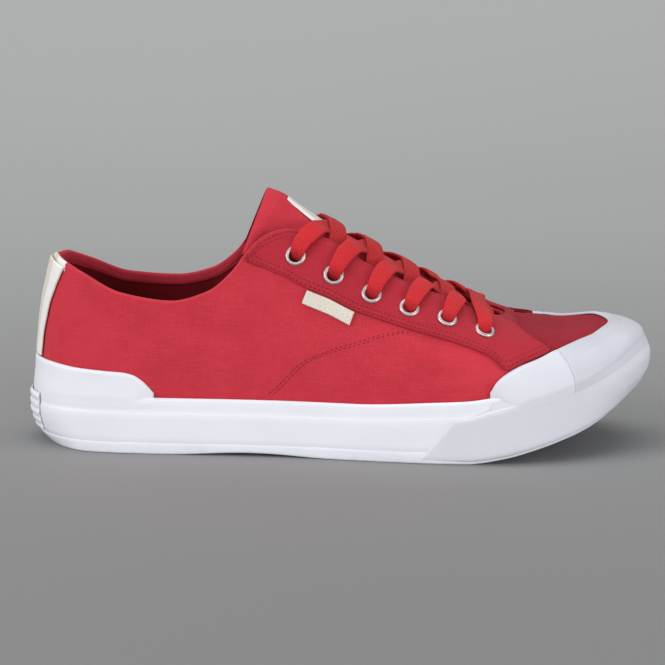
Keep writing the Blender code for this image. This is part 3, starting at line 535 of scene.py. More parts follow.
# Creases of the canvas. A place is a station and a girth
# share; run and width are in metres along and across the crease, turn is its
# angle from the shoe's length in degrees, and depth is in metres.
CREASES = (
    # side, station, girth, turn, run, width, depth
    (0, 0.170, 0.52, 62, 0.020, 0.0060, 0.00045),
    (0, 0.235, 0.40, 80, 0.018, 0.0070, 0.00035),
    (0, 0.290, 0.62, -48, 0.022, 0.0065, 0.00045),
    (0, 0.345, 0.30, 70, 0.016, 0.0060, 0.00040),
    (0, 0.520, 0.24, 20, 0.026, 0.0060, 0.00035),
    (0, 0.600, 0.30, -14, 0.024, 0.0055, 0.00045),
    (0, 0.665, 0.20, 8, 0.020, 0.0050, 0.00045),
    (0, 0.705, 0.33, -20, 0.018, 0.0050, 0.00040),
    (0, 0.905, 0.66, 84, 0.016, 0.0050, 0.00050),
    (0, 0.945, 0.78, 75, 0.014, 0.0045, 0.00035),
    (1, 0.190, 0.50, 66, 0.020, 0.0060, 0.00045),
    (1, 0.300, 0.55, -50, 0.022, 0.0065, 0.00045),
    (1, 0.400, 0.30, 58, 0.020, 0.0065, 0.00040),
    (1, 0.560, 0.26, 14, 0.026, 0.0060, 0.00040),
    (1, 0.650, 0.30, -10, 0.022, 0.0055, 0.00045),
    (1, 0.700, 0.20, 10, 0.020, 0.0050, 0.00040),
    (1, 0.900, 0.70, 88, 0.016, 0.0050, 0.00045),
)
QUARTER_STITCH = (
    # station, girth: double row across the quarter up to the eyestay
    (0.386, 0.035),
    (0.440, 0.205),
    (0.481, 0.270),
    (0.524, 0.350),
    (0.561, 0.430),
    (0.600, 0.500),
)
GIRTH_LENGTH = 0.070        # rough length of the girth, for placing creases
RIPPLE = 0.00008            # faint unevenness of stretched canvas


def crease_lift(u, v):
    """Height of the canvas's troughs and ridges above its plain form."""
    u, v = np.broadcast_arrays(np.asarray(u, float), np.asarray(v, float))
    station = station_of(u)
    inner = np.mod(u, 1.0) > 0.5
    total = RIPPLE * (np.sin(station * 61 + v * 7) * np.sin(v * 23 + 1.7)
                      + np.sin(station * 97 - v * 11 + 2.0) * 0.6)
    for side, middle, girth, turn, run, width, depth in CREASES:
        along = (station - middle) * LENGTH
        up = (v - girth) * GIRTH_LENGTH
        angle = math.radians(turn)
        a = (along * math.cos(angle) + up * math.sin(angle)) / run
        b = (up * math.cos(angle) - along * math.sin(angle)) / width
        shape = -np.exp(-b**2) + 0.55 * np.exp(-(b - 1.5)**2)
        total = total + np.where(inner == bool(side),
                                 depth * shape * np.exp(-a**4), 0.0)
    return total * fade(v, 0.0, 0.12) * (1 - fade(v, 0.9, 1.0))


def cover(u, v, lift):
    """Place on the upper at a height above its creased surface."""
    normal = skin_normal(u, v)
    return skin(u, v) + normal * (lift + crease_lift(u, v))[..., None]


# Meshes from grids of points

def step_way(points, axis):
    """Distance along a grid's rows or columns, from its first line."""
    steps = np.linalg.norm(np.diff(points, axis=axis), axis=-1)
    first = np.zeros_like(np.take(steps, [0], axis=axis))
    return np.concatenate([first, np.cumsum(steps, axis=axis)], axis=axis)


def cloth_map(points):
    """UV of a grid: the way along its rows and its columns, in metres."""
    return np.stack([step_way(points, 1), step_way(points, 0)], -1)


def placed(name, data):
    """Object at the origin, in the scene."""
    made = bpy.data.objects.new(name, data)
    bpy.context.scene.collection.objects.link(made)
    return made


def make(name, points, faces, corners, looks, chosen=None):
    """Object from points, faces and the UV of each face's corners."""
    mesh = bpy.data.meshes.new(name)
    mesh.from_pydata(np.asarray(points).tolist(), [], faces.tolist())
    layer = mesh.uv_layers.new(name="cloth")
    layer.data.foreach_set("uv", np.asarray(corners, np.float32).ravel())
    for look in looks:
        mesh.materials.append(look)
    if chosen is not None:
        mesh.polygons.foreach_set("material_index",
                                  np.asarray(chosen, np.int32))
    mesh.validate()
    mesh.shade_smooth()
    return placed(name, mesh)


def quads(rows, columns, wrap_rows=False, wrap_columns=False):
    """Corner indices of a grid's quads, with and without wrapping."""
    r = np.arange(rows if wrap_rows else rows - 1)[:, None]
    c = np.arange(columns if wrap_columns else columns - 1)[None, :]
    wide = columns + (1 if wrap_columns else 0)
    faces, flat = [], []
    for dr, dc in ((0, 0), (0, 1), (1, 1), (1, 0)):
        faces.append(((r + dr) % rows) * columns + (c + dc) % columns)
        flat.append((r + dr) * wide + (c + dc))
    return (np.stack(faces, -1).reshape(-1, 4),
            np.stack(flat, -1).reshape(-1, 4))


def grid_piece(name, points, uv, looks, wrap_rows=False, wrap_columns=False,
               chosen=None, caps=False, turn=False):
    """Grid of points as a surface; caps close its first and last row."""
    rows, columns = points.shape[:2]
    faces, flat = quads(rows, columns, wrap_rows, wrap_columns)
    corners = uv.reshape(-1, 2)[flat]
    if turn:
        faces, corners = faces[:, ::-1], corners[:, ::-1]
    made = make(name, points.reshape(-1, 3), faces, corners, looks, chosen)
    if caps:
        fill_ends(made.data, rows, columns)
    outward(made)
    return made


def fill_ends(mesh, rows, columns):
    """Closes the first and the last ring with strips across them."""
    work = bmesh.new()
    work.from_mesh(mesh)
    work.verts.ensure_lookup_table()
    for start in (0, (rows - 1) * columns):
        ring = [work.verts[start + i] for i in range(columns)]
        half = columns // 2
        work.faces.new((ring[0], ring[1], ring[columns - 1]))
        for i in range(1, half - 1):
            work.faces.new((ring[i], ring[i + 1], ring[columns - i - 1],
                            ring[columns - i]))
        work.faces.new((ring[half - 1], ring[half], ring[half + 1]))
    for face in work.faces:
        face.smooth = True
    work.to_mesh(mesh)
    work.free()


def outward(piece):
    """Turns a closed piece's faces outwards."""
    work = bmesh.new()
    work.from_mesh(piece.data)
    bmesh.ops.recalc_face_normals(work, faces=work.faces)
    work.to_mesh(piece.data)
    work.free()


def sheet(name, low, high, uv, looks):
    """Closed sheet between two grids that share their border."""
    rows, columns = low.shape[:2]
    number = np.arange(rows * columns).reshape(rows, columns)
    inside = np.zeros((rows, columns), bool)
    inside[1:-1, 1:-1] = True
    under = number.copy()
    under[inside] = rows * columns + np.arange(inside.sum())
    faces, flat = quads(rows, columns)
    points = np.vstack([high.reshape(-1, 3), low[inside]])
    top = number.ravel()[faces]
    bottom = under.ravel()[faces][:, ::-1]
    corners = uv.reshape(-1, 2)
    made = make(name, points, np.vstack([top, bottom]),
                np.vstack([corners[flat], corners[flat][:, ::-1]]), looks)
    outward(made)
    return made


def shoulder(near, width):
    """Quarter round: 0 at the edge, 1 from width inwards."""
    t = np.clip(near / width, 0, 1)
    return np.sqrt(np.clip(1 - (1 - t)**2, 0, 1))


def rim_share(points, width):
    """Round shoulder: 0 at a grid's border, 1 from width inwards."""
    down, along = step_way(points, 0), step_way(points, 1)
    near = np.minimum.reduce([down, down[-1:] - down,
                              along, along[:, -1:] - along])
    return shoulder(near, width)


def fine(count, rim=0.02):
    """Shares from 0 to 1 with closer steps at both ends."""
    ends = np.array([0.0, 0.10, 0.30, 0.60, 1.0]) * rim
    middle = np.linspace(rim, 1 - rim, count)[1:-1]
    return np.concatenate([ends, middle, 1 - ends[::-1]])


SKIRT = (0.0052, 0.00514, 0.0040, 0.0030, 0.0020, 0.0012)  # drops of rows
SKIRT_DEPTH = 0.0012        # of the skirt's back, inside the sole's edge
LINE_HALF = 0.0007          # half width of a moulded line
SEAM_NOTCH = 0.0005         # depth of the notch where rubber meets rubber
RUBBER_EDGE = 0.0009        # width of the rounded edge
LINES_FROM = (0.88, 0.94)   # stations between which moulded lines fade in
FOOT_POWER = 1.6            # how sharply the foot's spread falls away


def footed(name, u, v, thick, rest, run, tapers, look, grooves=()):
    """Sheet whose foot spreads out and lies flush on the sole's edge."""
    low = cover(u, v, np.full(u.shape, SKIN_GAP))
    down, along = step_way(low, 0), step_way(low, 1)
    back = along[:, -1:] - along
    thick = np.full(u.shape, thick)
    front = fade(station_of(u), *LINES_FROM)
    for height, depth in grooves:
        thick -= depth * front * np.exp(-((down - height) / LINE_HALF)**2)
    near = down[-1:] - down
    fall = np.exp(-(down / run)**FOOT_POWER)
    for way, length in ((along, tapers[0]), (back, tapers[1])):
        if length:
            near = np.minimum(near, way)
            fall = fall * fade(way[:1], 0.0, length)
        else:
            thick -= SEAM_NOTCH * np.exp(-(way / LINE_HALF)**2)
    full = cover(u, v, SKIN_GAP + thick)
    full += (rest(u[0], SKIRT[-1], 0.0) - full[0])[None] * fall[..., None]
    skirt = np.array([rest(u[0], drop, 0.0) for drop in SKIRT[:-1]])
    under = np.array([rest(u[0], drop, SKIRT_DEPTH)
                      for drop in SKIRT[:-1]])
    near = np.concatenate([np.minimum(near[:1], 1.0).repeat(len(SKIRT), 0),
                           near])
    round_off = shoulder(near, RUBBER_EDGE)[..., None]
    round_off[:, 0] = round_off[:, -1] = 0.0
    low = np.concatenate([under[:1], under, low])
    high = np.concatenate([under[:1], skirt, full])
    high = low + (high - low) * round_off
    return sheet(name, low, high, cloth_map(low), [look])


def choose(piece, chosen):
    """Sets which of its looks each face of a piece takes."""
    piece.data.polygons.foreach_set("material_index",
                                    np.asarray(chosen).astype(np.int32))


def blanket(name, u, v, lift, thick, looks, edge):
    """Sheet with rounded edges over places on the upper."""
    low = cover(u, v, np.full(u.shape, lift))
    high = cover(u, v, lift + rim_share(low, edge) * thick)
    return sheet(name, low, high, cloth_map(low), looks)


def between(u, low, high, rows):
    """Grid of places between two girth lines over the same ring places."""
    share = np.asarray(rows)[:, None]
    return (np.broadcast_to(u, (len(share), len(u))).copy(),
            low + (high - low) * share)


# Materials, written as sums of sockets

class Wire:
    """A socket of a look's shader that takes + - and * as nodes."""

    def __init__(self, look, socket):
        self.look, self.socket = look, socket

    def __add__(self, other):
        return self.look.math("ADD", self, other)

    def __radd__(self, other):
        return self.look.math("ADD", other, self)

    def __rsub__(self, other):
        return self.look.math("SUBTRACT", other, self)

    def __mul__(self, other):
        return self.look.math("MULTIPLY", self, other)


class Finish:
    """A material with one Principled shader, filled through short calls."""

    def __init__(self, name, roughness=0.8, **plain):
        self.material = bpy.data.materials.new(name)
        self.material.use_nodes = True
        self.tree = self.material.node_tree
        self.shader = self.tree.nodes["Principled BSDF"]
        self.feed(roughness=roughness, **plain)

    def fill(self, socket, value):
        """Links a wire, or sets a value; a colour is given without alpha."""
        if isinstance(value, Wire):
            self.tree.links.new(value.socket, socket)
        else:
            socket.default_value = (*value, 1.0) if (
                socket.type == "RGBA") else value

    def feed(self, **values):
        """Fills the shader's sockets, as in coat_weight for Coat Weight."""
        for key, value in values.items():
            key = key.replace("_", " ").title().replace("Ior", "IOR")
            self.fill(self.shader.inputs[key], value)

    def node(self, kind, settings=None, sockets=(), out=0):
        made = self.tree.nodes.new(kind)
        for key, value in (settings or {}).items():
            setattr(made, key, value)
        for key, value in (sockets.items() if isinstance(sockets, dict)
                           else enumerate(sockets)):
            self.fill(made.inputs[key], value)
        return Wire(self, made.outputs[out])

    def math(self, kind, *values):
        return self.node("ShaderNodeMath", {"operation": kind}, values)

    def place(self):
        return self.node("ShaderNodeTexCoord", out=3)

    def cloth(self):
        return self.node("ShaderNodeUVMap", {"uv_map": "cloth"})

    def split(self, vector):
        made = self.node("ShaderNodeSeparateXYZ", None, [vector])
        outs = made.socket.node.outputs
        return [Wire(self, socket) for socket in outs]

    def noise(self, vector, scale, detail=2.0, stretch=(1, 1, 1)):
        if stretch != (1, 1, 1):
            vector = self.node("ShaderNodeVectorMath",
                               {"operation": "MULTIPLY"}, [vector, stretch])
        return self.node("ShaderNodeTexNoise", None,
                         {"Vector": vector, "Scale": scale, "Detail": detail})

    def sine(self, value):
        return self.math("SINE", value)

    def bound(self, value, low, high):
        """0 below low, 1 above high, smooth between."""
        return self.node("ShaderNodeMapRange",
                         {"interpolation_type": "SMOOTHSTEP"},
                         {"Value": value, "From Min": low, "From Max": high})

    def mix(self, share, first, second):
        made = self.tree.nodes.new("ShaderNodeMix")
        made.data_type = "RGBA"
        for key, value in (("Factor", share), ("A", first), ("B", second)):
            found = [s for s in made.inputs if s.name == key and s.enabled]
            self.fill(found[0], value)
        return Wire(self, [s for s in made.outputs if s.enabled][0])

    def relief(self, height, depth):
        """Normal from a height of 0 to 1 and its depth in metres."""
        return self.node("ShaderNodeBump", None,
                         {"Strength": 1.0, "Distance": depth,
                          "Height": height})


def weave_height(look, thread):
    """Plain weave: threads cross over and under each other."""
    x, y, _ = look.split(look.cloth())
    turn = math.pi / thread
    a, b = look.sine(x * turn), look.sine(y * turn)
    return a * b * 0.5 + 0.5


def canvas_look(name, shade, dark, light, thread=0.00055, sheen=0.10):
    look = Finish(name, 0.86, sheen_weight=sheen, sheen_roughness=0.45,
                  sheen_tint=(1.0, 0.55, 0.55), specular_ior_level=0.14)
    uv = look.cloth()
    slub = look.noise(uv, 900.0, 1.0, (0.12, 1, 1))
    warp = look.noise(uv, 900.0, 1.0, (1, 0.12, 1))
    cloud = look.noise(look.place(), 38.0, 3.0)
    weave = weave_height(look, thread)
    tone = look.mix(look.bound(cloud, 0.30, 0.72), dark, shade)
    tone = look.mix(look.bound(slub * 0.6 + warp * 0.4, 0.42, 0.74) * 0.20,
                    tone, light)
    tone = look.mix((1 - weave) * 0.16, tone, dark)
    look.feed(base_color=tone, roughness=0.92 - slub * 0.14,
              normal=look.relief(weave * 0.55 + slub * 0.3 + warp * 0.3,
                                 0.00022))
    return look.material


CANVAS = canvas_look("canvas", (0.560, 0.036, 0.056), (0.510, 0.030, 0.048),
                     (0.680, 0.075, 0.100))
# Painted shade: the eyestay takes a darker copy of the canvas, standing in for
# less light on its upward faces.
STAY_SHADED = canvas_look("eyestay canvas painted shade", (0.430, 0.024, 0.040),
                   (0.386, 0.021, 0.034), (0.505, 0.043, 0.063))
# Painted shade: the toe takes a still darker copy of the canvas, standing in
# for less light on the vamp.
VAMP_SHADED = canvas_look("toe canvas painted shade", (0.330, 0.020, 0.034),
                   (0.290, 0.016, 0.028), (0.380, 0.034, 0.050),
                   sheen=0.02)
LINING = canvas_look("lining", (0.150, 0.003, 0.006), (0.110, 0.002, 0.004),
                     (0.190, 0.006, 0.010), 0.0007, 0.0)
BINDING = canvas_look("collar binding", (0.470, 0.030, 0.048),
                      (0.400, 0.024, 0.040), (0.540, 0.050, 0.070), 0.0007)


def lace_look():
    look = Finish("lace", 0.72, sheen_weight=0.15, sheen_roughness=0.35,
                  sheen_tint=(1.0, 0.4, 0.4), specular_ior_level=0.3)
    along, across, _ = look.split(look.cloth())
    braid = look.math("ABSOLUTE", across)
    ribs = look.sine((along + braid * 0.9) * (math.tau / 0.0011))
    cords = look.sine(across * (math.tau / 0.0013))
    height = ribs * 0.3 + cords * 0.25 + 0.5
    tone = look.mix(look.bound(height, 0.1, 0.8), (0.44, 0.008, 0.013),
                    (0.66, 0.020, 0.027))
    # Painted shade: the lace grows darker over the tongue's crown, away from
    # the eyelets.
    aside = look.math("ABSOLUTE", look.split(look.place())[1])
    tone = look.mix(look.bound(0.026 - aside, 0.0, 0.016) * 0.55, tone,
                    (0.33, 0.005, 0.008))
    look.feed(base_color=tone, normal=look.relief(height, 0.00025))
    return look.material


LACE = lace_look()


def rubber_look(name, shade, dark, roughness, coat=0.0):
    look = Finish(name, roughness, coat_weight=coat, coat_roughness=0.35)
    place = look.place()
    cloud = look.noise(place, 26.0, 3.0)
    grain = look.noise(place, 2600.0, 1.0)
    swirl = look.noise(place, 240.0, 2.0)
    low = look.split(place)[2]
    dust = look.bound(0.006 - low, 0.0, 0.006) * look.bound(swirl, 0.4, 0.7)
    tone = look.mix(look.bound(cloud, 0.35, 0.7), dark, shade)
    tone = look.mix(dust * 0.25, tone, (0.55, 0.54, 0.56))
    look.feed(base_color=tone,
              roughness=roughness - 0.06 + swirl * 0.12,
              normal=look.relief(grain * 0.5 + swirl * 0.5, 0.00006))
    return look.material


RUBBER_WHITE = rubber_look("white rubber", (0.775, 0.780, 0.840),
                           (0.745, 0.750, 0.812), 0.50, 0.05)
# Painted shade: darker copies of the white rubber for the toe tape and bumpers
# and, darker still, the toe cap, standing in for less light round the toe.
RUBBER_TOE_SHADED = rubber_look("toe rubber painted shade", (0.655, 0.662, 0.720),
                         (0.630, 0.638, 0.696), 0.48, 0.06)
RUBBER_CAP_SHADED = rubber_look("toe cap rubber painted shade", (0.575, 0.585, 0.640),
                         (0.550, 0.560, 0.615), 0.48, 0.06)
RUBBER_SOLE = rubber_look("tread rubber", (0.740, 0.748, 0.815),
                          (0.700, 0.710, 0.780), 0.6)


def tape_look(name, shade, light, roughness=0.75):
    look = Finish(name, roughness, sheen_weight=0.2)
    uv = look.cloth()
    x, y, _ = look.split(uv)
    ribs = look.sine(x * (math.tau / 0.0008)) * look.sine(
        y * (math.tau / 0.0006)) * 0.5 + 0.5
    cloud = look.noise(look.place(), 60.0, 2.0)
    tone = look.mix(ribs * 0.35 + cloud * 0.4, shade, light)
    look.feed(base_color=tone, normal=look.relief(ribs, 0.00015))
    return look.material


CREAM = tape_look("cream tape", (0.670, 0.610, 0.520), (0.770, 0.715, 0.630))
# Pale tape: the tongue label's own white border, and painted highlight on the
# heel strip's sides.
PALE_AND_HIGHLIGHT = tape_look("white edge and painted highlight", (0.830, 0.810, 0.780), (0.900, 0.890, 0.870))
GREY_LABEL = tape_look("label cloth", (0.560, 0.535, 0.480),
                       (0.680, 0.655, 0.590))


def metal_look():
    look = Finish("eyelet metal", 0.32, metallic=1.0)
    grain = look.noise(look.place(), 1500.0, 2.0)
    tone = look.mix(grain, (0.46, 0.37, 0.38), (0.66, 0.57, 0.58))
    look.feed(base_color=tone, roughness=0.38 + grain * 0.16)
    return look.material


METAL = metal_look()


def hole_look():
    look = Finish("stitch hole", 0.95)
    # Painted shade: dark dots standing in for the shade inside the needle
    # holes.
    cloud = look.noise(look.place(), 900.0, 1.0)
    look.feed(base_color=look.mix(cloud, (0.13, 0.005, 0.009),
                                  (0.19, 0.008, 0.014)))
    return look.material


HOLE = hole_look()


def thread_look():
    look = Finish("thread", 0.9, specular_ior_level=0.1)
    twist = look.sine(look.noise(look.place(), 1600.0, 1.0) * 12.0)
    look.feed(base_color=look.mix(twist * 0.5 + 0.5, (0.36, 0.021, 0.034),
                                  (0.47, 0.036, 0.054)))
    return look.material


THREAD = thread_look()


# Repeats by Geometry Nodes: one small shape along lines on the shoe

def stitch_tree():
    """Sets a small shape along a line at a pitch, facing the surface."""
    tree = bpy.data.node_groups.new("stitches", "GeometryNodeTree")
    for name, kind, way in (("Geometry", "Geometry", "INPUT"),
                            ("Pitch", "Float", "INPUT"),
                            ("Length", "Float", "INPUT"),
                            ("Width", "Float", "INPUT"),
                            ("Height", "Float", "INPUT"),
                            ("Finish", "Material", "INPUT"),
                            ("Geometry", "Geometry", "OUTPUT")):
        tree.interface.new_socket(name, in_out=way,
                                  socket_type="NodeSocket" + kind)

    def node(kind, **settings):
        made = tree.nodes.new(kind)
        for key, value in settings.items():
            setattr(made, key, value)
        return made

    given, result = node("NodeGroupInput"), node("NodeGroupOutput")
    curve = node("GeometryNodeMeshToCurve")
    spaced = node("GeometryNodeResampleCurve", mode="LENGTH")
    facing = node("GeometryNodeInputNamedAttribute",
                  data_type="FLOAT_VECTOR")
    facing.inputs["Name"].default_value = "facing"
    tangent = node("GeometryNodeInputTangent")
    turn = node("FunctionNodeAxesToRotation", primary_axis="Z",
                secondary_axis="X")
    shape = node("GeometryNodeMeshUVSphere")
    for name, value in (("Segments", 6), ("Rings", 4), ("Radius", 0.5)):
        shape.inputs[name].default_value = value
    size = node("ShaderNodeCombineXYZ")
    scaled = node("GeometryNodeTransform")
    put = node("GeometryNodeInstanceOnPoints")
    real = node("GeometryNodeRealizeInstances")
    paint = node("GeometryNodeSetMaterial")
    seen = [s.enabled for s in facing.outputs].index(True)
    for first, out, second, into in (
            (given, "Geometry", curve, "Mesh"),
            (curve, "Curve", spaced, "Curve"),
            (given, "Pitch", spaced, "Length"),
            (facing, seen, turn, 0), (tangent, 0, turn, 1),
            (given, "Length", size, "X"), (given, "Width", size, "Y"),
            (given, "Height", size, "Z"),
            (shape, "Mesh", scaled, "Geometry"), (size, 0, scaled, "Scale"),
            (spaced, "Curve", put, "Points"),
            (scaled, "Geometry", put, "Instance"),
            (turn, 0, put, "Rotation"),
            (put, "Instances", real, "Geometry"),
            (real, "Geometry", paint, "Geometry"),
            (given, "Finish", paint, "Material"),
            (paint, "Geometry", result, "Geometry")):
        tree.links.new(first.outputs[out], second.inputs[into])
    return tree


STITCHES = stitch_tree()


def along_lines(name, lines, size, look):
    """Small shapes along lines of (points, facings)."""
    points, edges, facing = [], [], []
    for path, normals in lines:
        first = len(points)
        points += [tuple(p) for p in path]
        facing += [tuple(n) for n in normals]
        edges += [(first + i, first + i + 1) for i in range(len(path) - 1)]
    mesh = bpy.data.meshes.new(name + " lines")
    mesh.from_pydata(points, edges, [])
    mesh.attributes.new("facing", "FLOAT_VECTOR", "POINT").data.foreach_set(
        "vector", np.asarray(facing, np.float32).ravel())
    made = placed(name, mesh)
    maker = made.modifiers.new("stitches", "NODES")
    maker.node_group = STITCHES
    values = dict(zip(("Pitch", "Length", "Width", "Height", "Finish"),
                      (STITCH_PITCH, *size, look)))
    for item in STITCHES.interface.items_tree:
        if item.in_out == "INPUT" and item.name in values:
            maker[item.identifier] = values[item.name]
    return bake(made)


def bake(made):
    """Turns a piece with modifiers into a plain mesh."""
    graph = bpy.context.evaluated_depsgraph_get()
    plain = bpy.data.meshes.new_from_object(made.evaluated_get(graph),
                                            depsgraph=graph)
    made.modifiers.clear()
    made.data = plain
    plain.shade_smooth()
    return made


def shown(piece, slot, *nodes):
    """Hands a piece to the shoe's one body."""
    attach(piece, BODY)
    if nodes:
        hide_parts(*nodes)
    return piece


# Eyelet places and the cutter for their holes

def eyelet_places(inner):
    """Ring place and girth share of the middle of each eyelet."""
    ring = place_of(np.linspace(0.40, 0.80, 81), inner)
    places = []
    for along in np.linspace(EYELET_LINE[0][0], EYELET_LINE[-1][0],
                             EYELETS):
        v = float(read(EYELET_LINE, along))
        x = skin(ring, v)[:, 0]
        places.append((float(np.interp(to_world(along * LENGTH), x, ring)),
                       v))
    return places


PLACES = {side: eyelet_places(side == "m") for side in "lm"}


def axes_at(u, v):
    """Middle, along, across and outward direction at a place."""
    normal = skin_normal(u, v)
    across = unit(np.cross(normal, [1.0, 0.0, 0.0]))
    return skin(u, v), np.cross(across, normal), across, normal


def circles(profiles, sides):
    """For each eyelet, its circles of (radius, lift) as rows of points."""
    for u, v in PLACES["l"] + PLACES["m"]:
        middle, along, across, normal = axes_at(u, v)
        yield [[middle + normal * lift
                + (along * math.cos(a) + across * math.sin(a)) * radius
                for a in np.arange(sides) / sides * math.tau]
               for radius, lift in profiles]


def turned(name, profiles, sides, looks):
    """Rings of profiles (radius, lift) round the eyelets, as one piece."""
    points, faces = [], []
    grid, _ = quads(len(profiles), sides, True, True)
    for rows in circles(profiles, sides):
        faces.append(grid + len(points))
        points += [p for row in rows for p in row]
    faces = np.vstack(faces)
    made = make(name, points, faces, np.zeros((len(faces), 4, 2)), looks)
    outward(made)
    return made


HOLE_RADIUS = EYELET_BORE / 2 + 0.0004
PIN_SIDES = 24
PIN_REACH = 0.006           # of a pin, on either side of the surface


def hole_cutter():
    """Closed pins where the eyelet holes go."""
    work = bmesh.new()
    for rows in circles([(HOLE_RADIUS, -PIN_REACH), (HOLE_RADIUS, PIN_REACH)],
                        PIN_SIDES):
        ends = [[work.verts.new(point) for point in row] for row in rows]
        for i in range(PIN_SIDES):
            j = (i + 1) % PIN_SIDES
            work.faces.new((ends[0][i], ends[0][j], ends[1][j], ends[1][i]))
        work.faces.new(ends[0])
        work.faces.new(ends[1])
    bmesh.ops.recalc_face_normals(work, faces=work.faces)
    mesh = bpy.data.meshes.new("hole pins")
    work.to_mesh(mesh)
    work.free()
    return placed("hole_pins", mesh)


def punched(piece, pins):
    cut = piece.modifiers.new("holes", "BOOLEAN")
    cut.operation, cut.solver, cut.object = "DIFFERENCE", "MANIFOLD", pins
    return bake(piece)


TOP_ROLL = 8                # steps round the upper's top edge
ROLL_HIGH = 0.35            # its height, as a share of its width
COLLAR_BAND = 0.0045        # rolled band inside the collar
COLLAR_ENDS = (0.34, 0.40)  # stations where the collar's padding ends
COLLAR_SWELL = 0.0010       # of the band
PAD_SWELL = 0.0016          # of the padding under it
PAD_MIDDLE = 0.014          # middle of the padding under the top edge
PAD_HALF = 0.008
VAMP_START = 0.80           # station where the canvas's darker painted-shade copy begins
RING_STEPS = 400            # round the upper
MAP_ROW = 40                # row whose length sets the weave's columns
STRIP_CREAM = 0.62          # cream share of the heel strip's half width; its pale sides are painted highlight


def inside_of(u, v, depth):
    """Inner surface of the upper, at a depth under its outer one."""
    height = FOOT_BASE + (wall_top(station_of(u)) - FOOT_BASE) * (
        1 + np.minimum(v, 0))
    low = sole_ring(u, height, FOOT_INSET + WALL)
    return np.where((v < 0)[..., None], low, cover(u, v, -depth))


def make_upper(pins):
    """Canvas, rolled top edge and lining, as one closed wall."""
    ring = np.arange(RING_STEPS) / RING_STEPS
    up = np.concatenate([[-1.0, -0.6, -0.25, -0.06], np.linspace(0, 1, 58)])
    u, v = np.broadcast_arrays(ring[None, :], up[:, None])
    outer = np.where((v < 0)[..., None], skin(u, v), cover(u, v, 0.0))
    top = outer[-1]
    normal = skin_normal(ring, 1.0)
    rise = unit(outer[-1] - outer[-2])
    collar = (1 - fade(station_of(ring), *COLLAR_ENDS))[:, None]
    roll_in = WALL + COLLAR_SWELL * collar
    turns = np.linspace(0, math.pi, TOP_ROLL + 2)[1:-1]
    roll = np.array([top - normal * roll_in / 2 * (1 - math.cos(a))
                     + rise * roll_in * ROLL_HIGH * math.sin(a)
                     for a in turns])
    down = np.concatenate([np.linspace(1, 0, 60),
                           [-0.06, -0.25, -0.6, -1.0]])
    u, v = np.broadcast_arrays(ring[None, :], down[:, None])
    girth = step_way(outer[::-1], 0)[len(up) - 5]
    fall = (1 - np.clip(down, 0, 1))[:, None] * girth[None, :]
    band = 1 - fade(fall, COLLAR_BAND * 0.75, COLLAR_BAND)
    swell = collar.T * (COLLAR_SWELL * band + PAD_SWELL
                        * np.exp(-((fall - PAD_MIDDLE) / PAD_HALF)**2))
    inner = inside_of(u, v, WALL + swell * (v > 0))
    points = np.concatenate([outer, roll, inner])
    rows = len(points)
    closed = np.concatenate([points, points[:1]])
    closed = np.concatenate([closed, closed[:, :1]], axis=1)
    uv = cloth_map(closed)
    uv[..., 0] = uv[MAP_ROW, :, 0]
    row = np.arange(rows)[:, None]
    centre = ring + 0.5 / RING_STEPS
    station = station_of(centre)[None, :]
    # Faces of the outer canvas past VAMP_START take the toe's painted-shade
    # copy.
    chosen = np.where((row < len(up) - 1) & (station > VAMP_START), 3, 0)
    first_inner = len(up) + TOP_ROLL - 1
    falls = np.zeros(rows)
    falls[len(up) + TOP_ROLL:] = fall.mean(axis=1)
    chosen = np.where(row >= first_inner - TOP_ROLL // 2, 2, chosen)
    chosen = np.where((row >= first_inner) & (falls[:, None] > COLLAR_BAND),
                      1, chosen)
    near = np.minimum(centre, 1 - centre)[None, :]
    # Painted highlight: at the heel the top edge takes the strip's cream
    # middle and pale sides.
    heel = place_of(STRIP[-1][1])
    tip = (row >= len(up) - 4) & (row < first_inner - TOP_ROLL // 2)
    chosen = np.where(tip & (near < heel), 4, chosen)
    chosen = np.where(tip & (near < heel * STRIP_CREAM), 5, chosen)
    looks = [CANVAS, LINING, BINDING, VAMP_SHADED, PALE_AND_HIGHLIGHT, CREAM]
    upper = grid_piece("upper_canvas", points, uv, looks, True, True,
                       chosen.ravel())
    return punched(upper, pins)


PINS = hole_cutter()
shown(make_upper(PINS), "canvas", "upper")


# Eyestay, cut between its seam and the throat's edge

STAY_TOP = 0.993            # girth share of its upper edge


def eyestay_grid(per_row, shares):
    table = np.array(EYESTAY)
    knots = np.arange(len(table), dtype=float)
    at = np.linspace(0, knots[-1], (len(table) - 1) * per_row + 1)
    low, top = [np.concatenate([u, 1 - u[-2::-1]]) for u in (
        place_of(hermite(knots, table[:, i], at)) for i in (0, 3))]
    low_v = np.concatenate([hermite(knots, table[:, 1], at),
                            hermite(knots, table[:, 2], at)[-2::-1]])
    share = np.asarray(shares)[:, None]
    return low + (top - low) * share, low_v + (STAY_TOP - low_v) * share


stay_u, stay_v = eyestay_grid(9, fine(22))
eyestay = blanket("eyestay_panel", stay_u, stay_v, SKIN_GAP, OVERLAY_THICK,
                  [STAY_SHADED], 0.0010)
shown(punched(eyestay, PINS), "canvas", "eyestay")
bpy.data.objects.remove(PINS, do_unlink=True)

